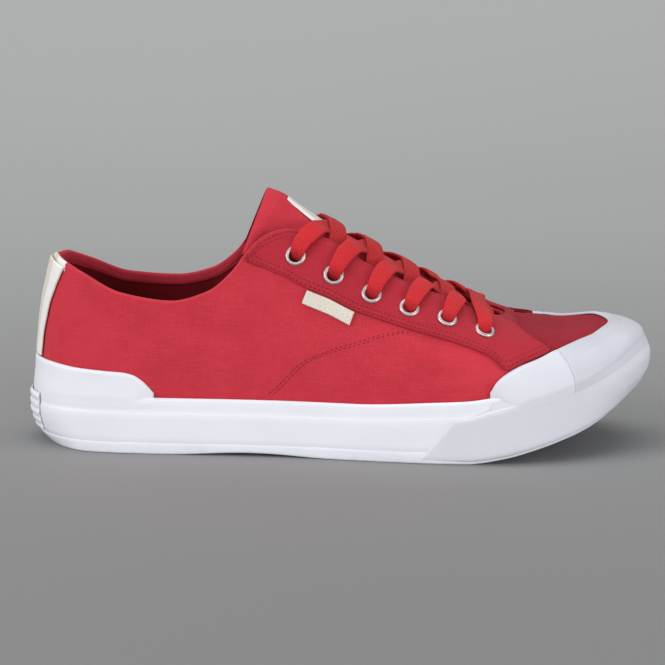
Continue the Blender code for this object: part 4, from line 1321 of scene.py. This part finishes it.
EYELET_SEAT = SKIN_GAP + OVERLAY_THICK
EYELET_DEPTH = 0.0032       # of the barrel's end under the surface
FLANGE = EYELET_OUTER / 2
BORE = EYELET_BORE / 2
eyelets = turned("eyelet_rings", (
    (BORE, -EYELET_DEPTH), (BORE, EYELET_SEAT + 0.0003),
    (BORE + 0.0003, EYELET_SEAT + 0.0008),
    (BORE + 0.0008, EYELET_SEAT + 0.00105),
    (FLANGE - 0.0006, EYELET_SEAT + 0.0008),
    (FLANGE - 0.0001, EYELET_SEAT + 0.0003),
    (FLANGE, EYELET_SEAT - 0.0001),
    (BORE + 0.00035, EYELET_SEAT - 0.0003),
    (BORE + 0.00035, -EYELET_DEPTH)), 32, [METAL])
shown(eyelets, "metal", *[f"eyelet_{s}{n + 1}" for s in "lm"
                          for n in range(EYELETS)])


# Rubber on the upper and the pieces of tape

TAPE_THIN = 0.0007          # how far the tape stands out at its ends
TAPE_GROWS = 0.0016         # and how much more round the toe
TAPE_GROWTH = (0.64, 0.78)  # between these stations
OVER_TAPE = (0.700, 0.725)  # stations where the rubber steps out to the tape
ROW_POWER = 1.3             # closer rows at the rubber's foot
TOP_SHARES = (0.990, 0.996, 0.999)


def band_round(name, first, last, high, rows, columns, run, tapers, look,
               node, grooves=()):
    steps = fine(columns, 0.01)
    if not tapers[0]:
        steps[1] = 0.0
    if not tapers[1]:
        steps[-2] = 1.0
    u = first + (last - first) * steps
    shares = np.concatenate([np.linspace(0, 1, rows)**ROW_POWER,
                             TOP_SHARES])
    shares.sort()
    piece = footed(name, *between(u, FOOT_LINE, high(u), shares),
                   RUBBER_THICK, rubber_rest, run, tapers, look, grooves)
    return shown(piece, "rubber_white", node)


def tape_out(u):
    """How far the tape's face stands out, thinner towards its ends."""
    return TAPE_THIN + TAPE_GROWS * fade(station_of(u), *TAPE_GROWTH)


def rubber_rest(u, drop, inside):
    """On the sole's edge, or the tape's, at a drop under its top."""
    station = station_of(u)
    tape = SIDEWALL_HEIGHT * read(TAPE_TOP, station)
    rim = sole_ring(u, wall_top(station) - drop,
                    BAND_STEP - 0.0002 + inside)
    outer = sole_ring(u, tape - drop, -tape_out(u) - 0.00008 + inside)
    return rim + (outer - rim) * fade(station, *OVER_TAPE)[:, None]


def rubber_top(u):
    station = station_of(u)
    return np.where(np.mod(u, 1.0) <= 0.5, read(RUBBER, station),
                    read(RUBBER, station, 2))


def guard_top(u):
    return read(GUARD, station_of(u))


CAP_LINES = ((0.0085, 0.00030), (0.0118, 0.00026))  # height, depth
FOOT_LINE = 0.004           # foot of the rubber, on the sidewall's rim
band_round("toe_cap_rubber", place_of(RUBBER_JOINT + 0.0005),
           place_of(RUBBER_JOINT + 0.0005, True), rubber_top, 60, 150,
           0.0090, (0, 0), RUBBER_CAP_SHADED, "toe_cap", CAP_LINES)
for side, inner in (("lateral", False), ("medial", True)):
    band_round("bumper_" + side, place_of(RUBBER_ENDS[inner], inner),
               place_of(RUBBER_JOINT, inner), rubber_top, 24, 60,
               0.0080, (0.014, 0), RUBBER_TOE_SHADED, "side_bumper_" + side)
guard_end = place_of(GUARD[-1][0])
band_round("heel_guard_rubber", -guard_end, guard_end, guard_top, 20, 150,
           0.0060, (0.010, 0.010), RUBBER_WHITE, "heel_guard")

STRIP_LIFT = SKIN_GAP * 1.6


def make_strip():
    """Tape up the back of the heel, cream with pale edges of painted
    highlight.
    """
    v = STRIP[0][0] + (STRIP[-1][0] - STRIP[0][0]) * fine(50, 0.01)
    share = 2 * fine(18, 0.05) - 1
    edge = place_of(read(STRIP, v))[:, None]
    made = blanket("heel_strip_tape", edge * share, v[:, None] + 0 * share,
                   STRIP_LIFT, STRIP_THICK, [CREAM, PALE_AND_HIGHLIGHT], 0.0006)
    across = np.abs(np.tile((share[:-1] + share[1:]) / 2, len(v) - 1))
    choose(made, np.tile(across > STRIP_CREAM, 2))
    return made


shown(make_strip(), "cream", "heel_strip")


# Side tag, folded over the eyestay's seam

def girth_down(u, v, distance):
    """Girth share at a distance down the surface from a share."""
    steps = np.linspace(v, max(v - 0.7, 0.0), 60)
    points = skin(np.full(60, u), steps)
    return float(np.interp(distance, way_along(points), steps))


SEAM = EYESTAY[:9]          # the eyestay's seam along the side
TAG_SLANT = 0.94            # run along the shoe for each length of the tag
TAG_DROP = 0.008            # its fold under the seam, as a girth share


def make_tag():
    """Small woven tag that hangs from the seam."""
    run = TAG_LENGTH / 2 / LENGTH * TAG_SLANT
    seam_u = place_of(TAG_STATION + run * (2 * fine(30, 0.03) - 1))
    hem_u = place_of(station_of(seam_u) - TAG_LEAN)
    seam, hem = [read(SEAM, station_of(u)) - TAG_DROP
                 for u in (seam_u, hem_u)]
    hem = np.array([girth_down(*place, TAG_HEIGHT)
                    for place in zip(hem_u, hem)])
    share = fine(14, 0.06)[:, None]
    return blanket("side_tag_tape", hem_u + (seam_u - hem_u) * share,
                   hem + (seam - hem) * share, SKIN_GAP, TAG_THICK + 0.0003,
                   [CREAM], 0.0004)


shown(make_tag(), "cream", "side_tag")


# Sole: cup, tape, outsole, heel plate and insole

SOLE_RING = np.arange(360) / 360


def sole_piece(name, levels, look, slot, node, arched=0):
    """Rings of (height, inset) round the sole, closed at both ends. The
    first ones, as many as arched says, rise with the hollow of the waist."""
    points = np.array([sole_ring(SOLE_RING, *level, number < arched)
                       for number, level in enumerate(levels)])
    closed = np.concatenate([points, points[:, :1]], axis=1)
    made = grid_piece(name, points, cloth_map(closed), [look],
                      wrap_columns=True, caps=True)
    return shown(made, slot, node)


def cup_levels():
    """Up the sidewall, over its rim and down to the foot bed."""
    rim = wall_top(station_of(SOLE_RING))
    ledge = rim - BAND_HEIGHT
    low = OUTSOLE_THICK - 0.0002
    inside = BAND_STEP + SIDEWALL_THICK
    return (
        (low, 0.0002), (low + 0.0004, 0.0),
        *((low + 0.0004 + (ledge - low - 0.0008) * s, 0.0)
          for s in (0.2, 0.4, 0.6, 0.8, 1.0)),
        (ledge, 0.00012), (ledge + 0.0004, 0.00030),
        (ledge + 0.0009, 0.00042), (ledge + 0.0020, 0.00050),
        *((ledge + 0.0006 + (BAND_HEIGHT - 0.0020) * s, BAND_STEP)
          for s in (0.5, 1.0)),
        (rim - 0.0007, BAND_STEP + 0.0002),
        (rim - 0.0002, BAND_STEP + 0.0007), (rim, BAND_STEP + 0.0013),
        (rim - 0.0002, inside - 0.0004), (rim - 0.0008, inside),
        ((rim + CUP_BASE) / 2, inside), (CUP_BASE, inside))


sole_piece("sidewall_cup", cup_levels(), RUBBER_WHITE, "rubber_white",
           "sole_cup")

TREAD_DEPTH = 0.0012
sole_piece("outsole_base", (
    (TREAD_DEPTH, 0.0042), (TREAD_DEPTH - 0.0002, 0.0038), (0.0001, 0.0034),
    (0.0, 0.0030), (0.0, 0.0008 - OUTSOLE_PROUD),
    (0.0003, 0.0001 - OUTSOLE_PROUD), (0.0010, -OUTSOLE_PROUD),
    (0.0030, -OUTSOLE_PROUD), (OUTSOLE_THICK - 0.0012, -OUTSOLE_PROUD * 0.9),
    (OUTSOLE_THICK - 0.0006, -OUTSOLE_PROUD * 0.7),
    (OUTSOLE_THICK - 0.0001, -OUTSOLE_PROUD * 0.2),
    (OUTSOLE_THICK, 0.0006)), RUBBER_SOLE, "rubber_sole", "outsole", 7)


def side_edges(x, inset):
    """Outer and inner edge of the tread at a place along the shoe."""
    y = []
    for branch in (OUTER_SIDE, INNER_SIDE):
        order = np.argsort(branch[:, 0])
        y.append(np.interp(x + HEEL_REST * LENGTH, branch[order, 0],
                           branch[order, 1]))
    return y[0] + inset, y[1] - inset


LUG_PITCH = 0.0066
LUG_LONG = 0.0038           # half a lug's length and width
LUG_WIDE = 0.0024
LUG_TAPER = 0.82            # its face, as a share of its foot
ROW_PITCH = 0.62            # between rows, as a share of the pitch
TREAD_END = 0.012           # from the sole's ends to the first rows
TREAD_SIDE = 0.0085         # from its sides, and more of it at the ends
TREAD_CORNER = 0.010
TREAD_REACH = 0.066         # where each row starts and stops


def lug(x, y):
    """Foot and face of one diamond lug, as eight points."""
    points = []
    for grow, height in ((1.0, TREAD_DEPTH + 0.0002), (LUG_TAPER, 0)):
        for a, b in ((1, 0), (0, 1), (-1, 0), (0, -1)):
            px = x + a * LUG_LONG * grow
            station = (px - to_world(0.0)) / LENGTH
            points.append((px, y + b * LUG_WIDE * grow,
                           float(spring(station) + arch(station)) + height))
    return points


def make_lugs():
    """Rows of small diamonds under the sole."""
    points, faces = [], []
    x, number = to_world(TREAD_END), 0
    while x < to_world(LENGTH - TREAD_END):
        station = (x - to_world(0.0)) / LENGTH
        ends = fade(station, 0.9, 1.0) + 1 - fade(station, 0.0, 0.08)
        low_y, high_y = side_edges(x, TREAD_SIDE + TREAD_CORNER * float(ends))
        y = -TREAD_REACH + (LUG_PITCH * 0.5 if number % 2 else 0.0)
        while y < TREAD_REACH:
            if low_y < y < high_y:
                n = len(points)
                points += lug(x, y)
                faces += [(n + a, n + b, n + 4 + b, n + 4 + a)
                          for a, b in ((0, 1), (1, 2), (2, 3), (3, 0))]
                faces += [(n + 4, n + 5, n + 6, n + 7),
                          (n + 3, n + 2, n + 1, n)]
            y += LUG_PITCH
        x += LUG_PITCH * ROW_PITCH
        number += 1
    faces = np.array(faces)
    made = make("tread_lugs", points, faces, np.zeros((len(faces), 4, 2)),
                [RUBBER_SOLE])
    made.data.shade_flat()
    outward(made)
    return made


shown(make_lugs(), "rubber_sole")


TAPE_SUNK = 0.0003          # how far the tape's back lies in the sole
TAPE_EDGE = 0.0020          # width of its rounded edge


def sole_layer(ring, height, inset):
    """Grid of points on the sole, for sheets that lie on it."""
    flat = sole_ring(ring.ravel(), height.ravel(), inset)
    return flat.reshape(*ring.shape, 3)


def make_tape():
    """Thick band round the toe, with its ends cut on a slant."""
    share = fine(16, 0.05)[:, None]
    start = TAPE_ENDS[0] + (TAPE_ENDS[1] - TAPE_ENDS[0]) * share
    way = fine(220, 0.006)[None, :]
    first, last = place_of(start), place_of(start, True)
    ring = first + (last - first) * way
    top = SIDEWALL_HEIGHT * read(TAPE_TOP, station_of(ring))
    height = TAPE_FOOT + (top - TAPE_FOOT) * share
    low = sole_layer(ring, height, TAPE_SUNK)
    rise = rim_share(low, TAPE_EDGE) * (tape_out(ring) + TAPE_SUNK)
    high = sole_layer(ring, height, TAPE_SUNK - rise.ravel())
    return sheet("toe_tape_band", low, high, cloth_map(low), [RUBBER_TOE_SHADED])


shown(make_tape(), "rubber_white", "toe_tape")


PLATE_EDGE = 0.0008         # width of its rounded edge


def make_plate():
    """Ribbed rubber plate on the back of the heel."""
    half = place_of(PLATE_WIDTH / 2 / LENGTH * PLATE_BEND)
    ring = half * (2 * fine(60, 0.03) - 1)
    share = fine(90, 0.02)
    height = PLATE_BOTTOM + (PLATE_TOP - PLATE_BOTTOM) * share
    ring, height = np.broadcast_arrays(ring[None, :], height[:, None])
    low = sole_layer(ring, height, -GAP)
    rib = 0.55 + 0.45 * np.tanh(2.2 * np.cos(
        (height - PLATE_BOTTOM) / (PLATE_TOP - PLATE_BOTTOM) * math.tau
        * PLATE_RIBS))
    rise = rim_share(low, PLATE_EDGE) * PLATE_THICK * (0.45 + 0.75 * rib)
    high = sole_layer(ring, height, -GAP - rise.ravel())
    return sheet("heel_plate_ribs", low, high, cloth_map(low),
                 [RUBBER_WHITE])


shown(make_plate(), "rubber_white", "heel_plate")

foot = FOOT_INSET + WALL + INSOLE_PLAY
insole_top = FOOT_BASE + INSOLE_THICK
insole = sole_piece("insole_sheet", (
    (FOOT_BASE, foot + 0.0006), (FOOT_BASE + 0.0006, foot),
    (insole_top - 0.0010, foot), (insole_top - 0.0003, foot + 0.0004),
    (insole_top, foot + 0.0012),
    (insole_top - 0.0002, foot + 0.0060), (insole_top - 0.0006, foot + 0.0140),
), LINING, "foam", "insole")


# Tongue and its label

SIDEWAYS = np.array([0.0, 1.0, 0.0])
UPWARD = np.array([0.0, 0.0, 1.0])


def tongue_frame(t):
    """Crown, normal, half width, depth, spread and body at shares."""
    table = np.array(TONGUE)
    knots = np.linspace(0, 1, len(table))
    t = np.asarray(t, float)

    def value(index, at):
        return hermite(knots, table[:, index], at)

    def centre(at):
        return np.stack([to_world(LENGTH * value(0, at)),
                         BALL_WIDTH * value(2, at),
                         TONGUE_HEIGHT * value(1, at)], -1)

    slope = centre(np.minimum(t + 0.01, 1.0)) - centre(
        np.maximum(t - 0.01, 0.0))
    normal = unit(np.cross(slope, -SIDEWAYS))
    normal = unit(normal + (UPWARD - normal) * value(6, t)[..., None])
    return (centre(t), normal, BALL_WIDTH * value(3, t)[..., None],
            BALL_WIDTH * value(4, t)[..., None], value(5, t),
            TONGUE_THICK * value(7, t))


def tongue_out(t, angle):
    """Outward direction of the tongue's front at an angle of its arch."""
    _, normal, half, depth, _, _ = tongue_frame(t)
    angle = np.asarray(angle, float)[..., None]
    return unit(normal * half * np.cos(angle)
                + SIDEWAYS * depth * np.sin(angle))


def tongue_point(t, angle, lift=0.0):
    """Point on the tongue's front, at an angle of its arch."""
    centre, normal, half, depth, _, _ = tongue_frame(t)
    turn = np.asarray(angle, float)[..., None]
    return (centre - normal * depth * (1 - np.cos(turn))
            + SIDEWAYS * half * np.sin(turn)
            + tongue_out(t, angle) * np.asarray(lift)[..., None])


TONGUE_SAG = 0.0007         # of its waves near the top
TONGUE_EDGE = 0.0016        # width of its rounded edge


def make_tongue():
    t = fine(90, 0.02)
    share = 2 * fine(44, 0.03) - 1
    t, share = np.broadcast_arrays(t[:, None], share[None, :])
    *_, spread, body = tongue_frame(t)
    angle = spread * share
    sag = TONGUE_SAG * np.sin(t * 17 + share * 2.5) * np.exp(
        -((t - 0.9) / 0.2)**2)
    middle = tongue_point(t, angle, -body / 2)
    rise = rim_share(middle, TONGUE_EDGE) * (body / 2)
    high = tongue_point(t, angle, -body / 2 + rise + sag)
    low = tongue_point(t, angle, -body / 2 - rise + sag)
    made = sheet("tongue_pad", low, high, cloth_map(middle),
                 [CANVAS, LINING])
    choose(made, np.repeat([0, 1], len(made.data.polygons) // 2))
    return made


tongue = shown(make_tongue(), "canvas", "tongue")

LABEL_FOOT = 0.620          # the lace hides the label's foot
LABEL_LEAN = 0.12           # how far its outer edge leans in, radians
LABEL_THICK = 0.0005
LABEL_EDGE = (0.82, 0.006)  # pale edge: share of the width, run at the top


def make_label():
    """Patch of cloth with a pale edge, over the tongue's arch."""
    run = LABEL_ALONG[1] - LABEL_FOOT
    t, share = np.broadcast_arrays(
        (LABEL_FOOT + run * fine(30, 0.03))[:, None],
        (2 * fine(36, 0.03) - 1)[None, :])
    half = tongue_frame(t)[2][..., 0]
    angle = (LABEL_SIDE + share * LABEL_WIDTH / 2 / half
             + LABEL_LEAN * (t - LABEL_FOOT) / run * (1 - share))
    low = tongue_point(t, angle, GAP + 0 * t)
    high = tongue_point(t, angle, GAP + LABEL_THICK * rim_share(low, 0.0005))
    made = sheet("tongue_label_cloth", low, high, cloth_map(low),
                 [GREY_LABEL, PALE_AND_HIGHLIGHT])
    border = (np.abs(share[:-1, :-1]) > LABEL_EDGE[0]) | (
        t[:-1, :-1] > LABEL_ALONG[1] - LABEL_EDGE[1])
    choose(made, np.tile(border.ravel(), 2))
    return made


shown(make_label(), "cream", "tongue_label")


# Lace: one flat braid through all the eyelets, its ends inside the shoe

LACE_ROUND = (0.7, 0.75)    # powers of its rounded cross-section
LACE_NARROW = 0.0064        # its width where an eyelet gathers it
LACE_FULL = 0.0090          # and where it lies free
LACE_CROWN = 0.96           # where strands cross, as a share of the pitch
CROWN_UNDER = 0.0016        # middle of the lower strand over the tongue
CROWN_OVER = 0.0032
LACE_AHEAD = {"l": 0.0100, "m": 0.0165}     # towards the toe, ring places
LACE_LOW = {"l": 1.0, "m": 0.65}            # lift over the throat's edge
BAR_AHEAD = -0.0035
BAR_BACK = 0.004            # of the bar's middle behind its eyelets
BAR_LIFT = 0.0052
LACE_STEP = 0.0006          # between its rings
# Out of an eyelet: the middle's way and lift, the facing's way and lift, width
LACE_OUT = ((-0.0004, -0.0050, -1.0, 0.0, 0.0),
            (0.0006, 0.0004, -1.0, 0.0, 0.0),
            (0.0022, 0.0034, -0.7, 1.0, 0.25))
# Over the throat's edge: share of the way to it, lift, width
LACE_EDGE = ((0.42, 0.0040, 0.7), (0.72, 0.0038, 1.0), (1.0, 0.0036, 1.0))
# Over the tongue's crown: share of the pitch past its middle, angle
LACE_OVER = ((-0.16, 0.34), (0.0, 0.0), (0.12, -0.36))
LACE_BACK = 0.004           # back under the next eyelet, in ring places


def tongue_share(x):
    """Share of the tongue's length where its crown has this X."""
    shares = np.linspace(0, 1, 200)
    crown = tongue_point(shares, np.zeros(200))[:, 0]
    return float(np.interp(-x, -crown, shares))


def near_part(side, number, ahead):
    """From inside an eyelet over the edge of the throat."""
    low = LACE_LOW[side]
    u, v = PLACES[side][number]
    step = math.copysign(ahead, 0.5 - u)
    middle, _, _, normal = axes_at(u, v)
    way = unit(skin(u + step * 0.6, v + (1 - v) * 0.6) - middle)
    rows = [(middle + way * a + normal * b, unit(way * c + normal * d), wide)
            for a, b, c, d, wide in LACE_OUT]
    for share, lift, wide in LACE_EDGE:
        place, girth = u + step * share, v + (1 - v) * share
        facing = skin_normal(place, girth)
        rows.append((skin(place, girth) + facing * lift * low, facing, wide))
    return rows


def crown_part(side, here, pitch, lift):
    """Across the tongue's crown."""
    turn = -1 if side == "l" else 1
    rows = []
    for share, angle in LACE_OVER:
        t = tongue_share(here + pitch * (LACE_CROWN + share))
        rows.append((tongue_point(t, angle * turn, lift),
                     tongue_out(t, angle * turn), 1.0))
    return rows


def hop(side, number, sign):
    """One strand: out of an eyelet, across, and under the next one."""
    other = "m" if side == "l" else "l"
    here = skin(*PLACES[side][number])[0]
    pitch = skin(*PLACES[side][number + 1])[0] - here
    lift = CROWN_OVER if side == "m" else CROWN_UNDER
    rows = near_part(side, number, LACE_AHEAD[side])
    rows += crown_part(side, here, pitch, lift)
    u, v = PLACES[other][number + 1]
    back = math.copysign(LACE_BACK, 0.5 - u)
    for place, girth, depth in ((u + back, 0.995, -0.0042),
                                (u + back * 0.4, (v + 1) / 2, -0.0046)):
        facing = skin_normal(place, girth)
        rows.append((skin(place, girth) + facing * depth, facing, 0.9))
    return [(p, n * sign, w) for p, n, w in rows]


def chain(side):
    rows = []
    for number in range(EYELETS - 1):
        rows += hop(side, number, -1 if number % 2 else 1)
        side = "m" if side == "l" else "l"
    return rows


def bar():
    """Straight strand over the last pair of eyelets."""
    first, second = [near_part(side, EYELETS - 1, BAR_AHEAD) for side in "lm"]
    t = tongue_share(skin(*PLACES["l"][EYELETS - 1])[0] - BAR_BACK)
    top = (tongue_point(t, 0.0, BAR_LIFT), tongue_frame(t)[1], 1.0)
    return [(p, -n, w) for p, n, w in first + [top] + second[::-1]]


def smooth(values, knots, at):
    """Catmull-Rom curve through rows of values."""
    slope = np.gradient(values, knots, axis=0)
    cell = np.clip(np.searchsorted(knots, at, side="right") - 1, 0,
                   len(knots) - 2)
    width = (knots[cell + 1] - knots[cell])[:, None]
    return cubic((at - knots[cell])[:, None] / width, values[cell],
                 values[cell + 1], slope[cell] * width,
                 slope[cell + 1] * width)


def make_lace():
    route = np.array([[*point, *normal, wide] for point, normal, wide
                      in chain("m") + bar() + chain("l")[::-1]])
    knots = way_along(route[:, :3])
    at = np.linspace(0, knots[-1], int(knots[-1] / LACE_STEP))
    route = smooth(route, knots, at)
    path, face = route[:, :3], route[:, 3:6]
    wide = np.clip(route[:, 6], 0, 1)
    way = unit(np.gradient(path, axis=0))
    face = unit(face - way * np.sum(face * way, axis=1, keepdims=True))
    across = np.cross(way, face)
    half = (LACE_NARROW + (LACE_FULL - LACE_NARROW) * wide) / 2
    thick = LACE_THICK * (1.50 - 0.15 * wide) / 2
    turn = np.arange(20) / 20 * math.tau
    flat, high = [np.sign(a) * np.abs(a)**power for a, power in (
        (np.cos(turn), LACE_ROUND[0]), (np.sin(turn), LACE_ROUND[1]))]
    rings = (path[:, None]
             + across[:, None] * (half[:, None] * flat)[..., None]
             + face[:, None] * (thick[:, None] * high)[..., None])
    run = way_along(path)
    flat = np.append(flat, flat[0])
    uv = np.stack(np.broadcast_arrays(run[:, None],
                                      flat[None, :] * LACE_FULL / 2), -1)
    print("lace length", round(float(run[-1]), 3))
    return grid_piece("lace_braid", rings, uv, [LACE], False, True,
                      caps=True)


shown(make_lace(), "lace", "lace_bar",
      *[f"lace_cross_{n + 1}" for n in range(EYELETS - 1)])


# Stitches: threads along the seams, and dark dots of painted shade at the
# needle holes

def at_distance(points_u, points_v, distance, from_top=False):
    """Places at a distance from the low or top edge of a grid."""
    points = skin(points_u, points_v)
    way = step_way(points, 0)
    if from_top:
        way = way[-1:] - way
        way, points_u, points_v = way[::-1], points_u[::-1], points_v[::-1]
    return [np.array([np.interp(distance, way[:, i], places[:, i])
                      for i in range(way.shape[1])])
            for places in (points_u, points_v)]


RUBBER_FROM = 0.70          # station behind which no rubber hides a seam
RUBBER_CLEAR = 0.012        # girth share kept free above the rubber


def seam_lines(u, v, lift, keep=None):
    """Lines of points and facings, cut where rubber covers them."""
    lines, run = [], []
    points = cover(u, v, np.full(u.shape, lift))
    normals = skin_normal(u, v)
    hidden = v < rubber_top(u) + RUBBER_CLEAR
    hidden &= station_of(u) > RUBBER_FROM
    if keep is not None:
        hidden |= ~keep
    for point, normal, gone in zip(points, normals, hidden):
        if gone:
            if len(run) > 2:
                lines.append(run)
            run = []
        else:
            run.append((point, normal))
    if len(run) > 2:
        lines.append(run)
    return [tuple(np.array(part) for part in zip(*line)) for line in lines]


def shifted(lines, distance):
    """The same lines, starting a little further on."""
    moved = []
    for points, normals in lines:
        way = way_along(points)
        at = np.linspace(distance, way[-1], len(points))
        moved.append([np.stack([np.interp(at, way, rows[:, i])
                                for i in range(3)], -1)
                      for rows in (points, normals)])
    return moved


STITCH_PITCH = 0.0023
THREAD_LIFT = 0.00002       # of the threads' middle over the cloth
THREAD_SIZE = (0.0016, 0.00042, 0.00030)    # length, width, height
HOLE_SIZE = (0.00080, 0.00070, 0.00024)
SEAM_ROWS = (0.0016, 0.0038)                # in from the eyestay's seam
TOP_ROWS = ((0.0017, 0.80), (0.0039, 0.455))    # in from its top, last station
QUARTER_APART = 0.0075                      # stations between the two rows


def all_seams():
    """Lines of stitches round the eyestay and across the quarters."""
    lines = []
    for distance in SEAM_ROWS:
        lines += seam_lines(*at_distance(stay_u, stay_v, distance),
                            EYELET_SEAT + THREAD_LIFT)
    ahead = station_of(stay_u[-1])
    for distance, reach in TOP_ROWS:
        lines += seam_lines(*at_distance(stay_u, stay_v, distance, True),
                            EYELET_SEAT + THREAD_LIFT, ahead < reach)
    way = np.linspace(QUARTER_STITCH[0][0], QUARTER_STITCH[-1][0], 60)
    girth = read(QUARTER_STITCH, way)
    for inner in (False, True):
        for aside in (0.0, QUARTER_APART):
            lines += seam_lines(place_of(way + aside, inner), girth,
                                THREAD_LIFT)
    return lines


seams = all_seams()
shown(along_lines("seam_threads", seams, THREAD_SIZE, THREAD), "canvas")
# Painted shade: the dark dots at the needle holes, half a pitch on from the
# threads.
shown(along_lines("needle_holes", shifted(seams, STITCH_PITCH / 2), HOLE_SIZE,
                  HOLE), "canvas")


# Floor, light and camera

def floor_look():
    look = Finish("studio floor", 0.8)
    cloud = look.noise(look.place(), 1.6, 2.0)
    # Painted light: the sweep is darker near the camera and lighter towards
    # and up the back wall, standing in for the fall of the light.
    depth = look.split(look.place())[1]
    floor = look.mix(cloud, (0.215, 0.215, 0.215), (0.230, 0.230, 0.230))
    wall = look.mix(cloud, (0.350, 0.350, 0.350), (0.370, 0.370, 0.370))
    look.feed(base_color=look.mix(look.bound(depth, -0.35, 1.0), floor, wall))
    return look.material


SWEEP_START = 0.9           # where the floor begins to rise, behind the shoe
SWEEP_RADIUS = 1.2
SWEEP_REACH = 4.0           # of the floor and the wall, each way


def make_sweep():
    """Floor that curves up into a back wall."""
    bend = np.linspace(0, math.pi / 2, 24)
    profile = [(-SWEEP_REACH, 0.0), (-1.0, 0.0), (0.3, 0.0)]
    profile += [(SWEEP_START + SWEEP_RADIUS * math.sin(a),
                 SWEEP_RADIUS * (1 - math.cos(a))) for a in bend]
    profile.append((SWEEP_START + SWEEP_RADIUS, SWEEP_REACH))
    points = np.array([[(x, y, z) for x in (-SWEEP_REACH, SWEEP_REACH)]
                       for y, z in profile])
    uv = points[..., :2]
    faces, flat = quads(len(profile), 2)
    made = make("floor", points.reshape(-1, 3), faces,
                uv.reshape(-1, 2)[flat], [floor_look()])


make_sweep()


def soft_light(name, place, aim, size, power):
    light = bpy.data.lights.new(name, "AREA")
    light.shape, light.size, light.size_y = "RECTANGLE", *size
    light.energy = power
    made = placed(name, light)
    made.location = place
    made.rotation_euler = (Vector(aim) - Vector(place)).to_track_quat(
        "-Z", "Y").to_euler()


soft_light("key", (-1.6, -1.0, 0.90), (0.05, 0.0, 0.05), (1.2, 1.2), 20)
soft_light("front", (-0.3, -2.2, 0.34), (0.12, 0.0, 0.04), (2.4, 0.8), 15)
soft_light("side", (1.5, -0.9, 0.20), (0.22, 0.0, 0.00), (1.2, 0.5), 12)
soft_light("top", (0.0, 0.1, 1.7), (0.1, 0.0, 0.0), (1.8, 1.8), 2)
soft_light("back", (0.0, 0.3, 2.2), (0.0, 2.0, 0.7), (2.4, 1.0), 32)


def make_sky(shade, strength):
    world = bpy.data.worlds.new("studio")
    world.use_nodes = True
    sky = world.node_tree.nodes["Background"].inputs
    sky["Color"].default_value = (*shade, 1.0)
    sky["Strength"].default_value = strength
    bpy.context.scene.world = world


make_sky((0.96, 0.98, 1.0), 0.50)
bpy.context.scene.view_settings.view_transform = "Standard"

CAMERA_TILT = 11.0          # degrees down
CAMERA_ROLL = 0.3
CAMERA_AWAY = 1.4
CAMERA_AIM = (0.105, 0.0, 0.05)
PIXELS_PER_METRE = 2060
IMAGE = 665
SHIFT = (-8.5 / IMAGE, 3.8 / IMAGE)
SENSOR = 36.0


def make_camera():
    """Camera square to the shoe's outer side, as in the photo."""
    data = bpy.data.cameras.new("camera")
    data.sensor_width = SENSOR
    data.lens = SENSOR * PIXELS_PER_METRE * CAMERA_AWAY / IMAGE
    data.shift_x, data.shift_y = SHIFT
    tilt, roll = math.radians(CAMERA_TILT), math.radians(CAMERA_ROLL)
    ahead = np.array([0.0, math.cos(tilt), -math.sin(tilt)])
    right = np.array([1.0, 0.0, 0.0])
    up = np.cross(right, ahead)
    right, up = (right * math.cos(roll) + up * math.sin(roll),
                 up * math.cos(roll) - right * math.sin(roll))
    matrix = Matrix((right, up, -ahead)).transposed().to_4x4()
    matrix.translation = Vector(np.array(CAMERA_AIM) - ahead * CAMERA_AWAY)
    made = placed("camera", data)
    made.matrix_world = matrix
    bpy.context.scene.camera = made


make_camera()
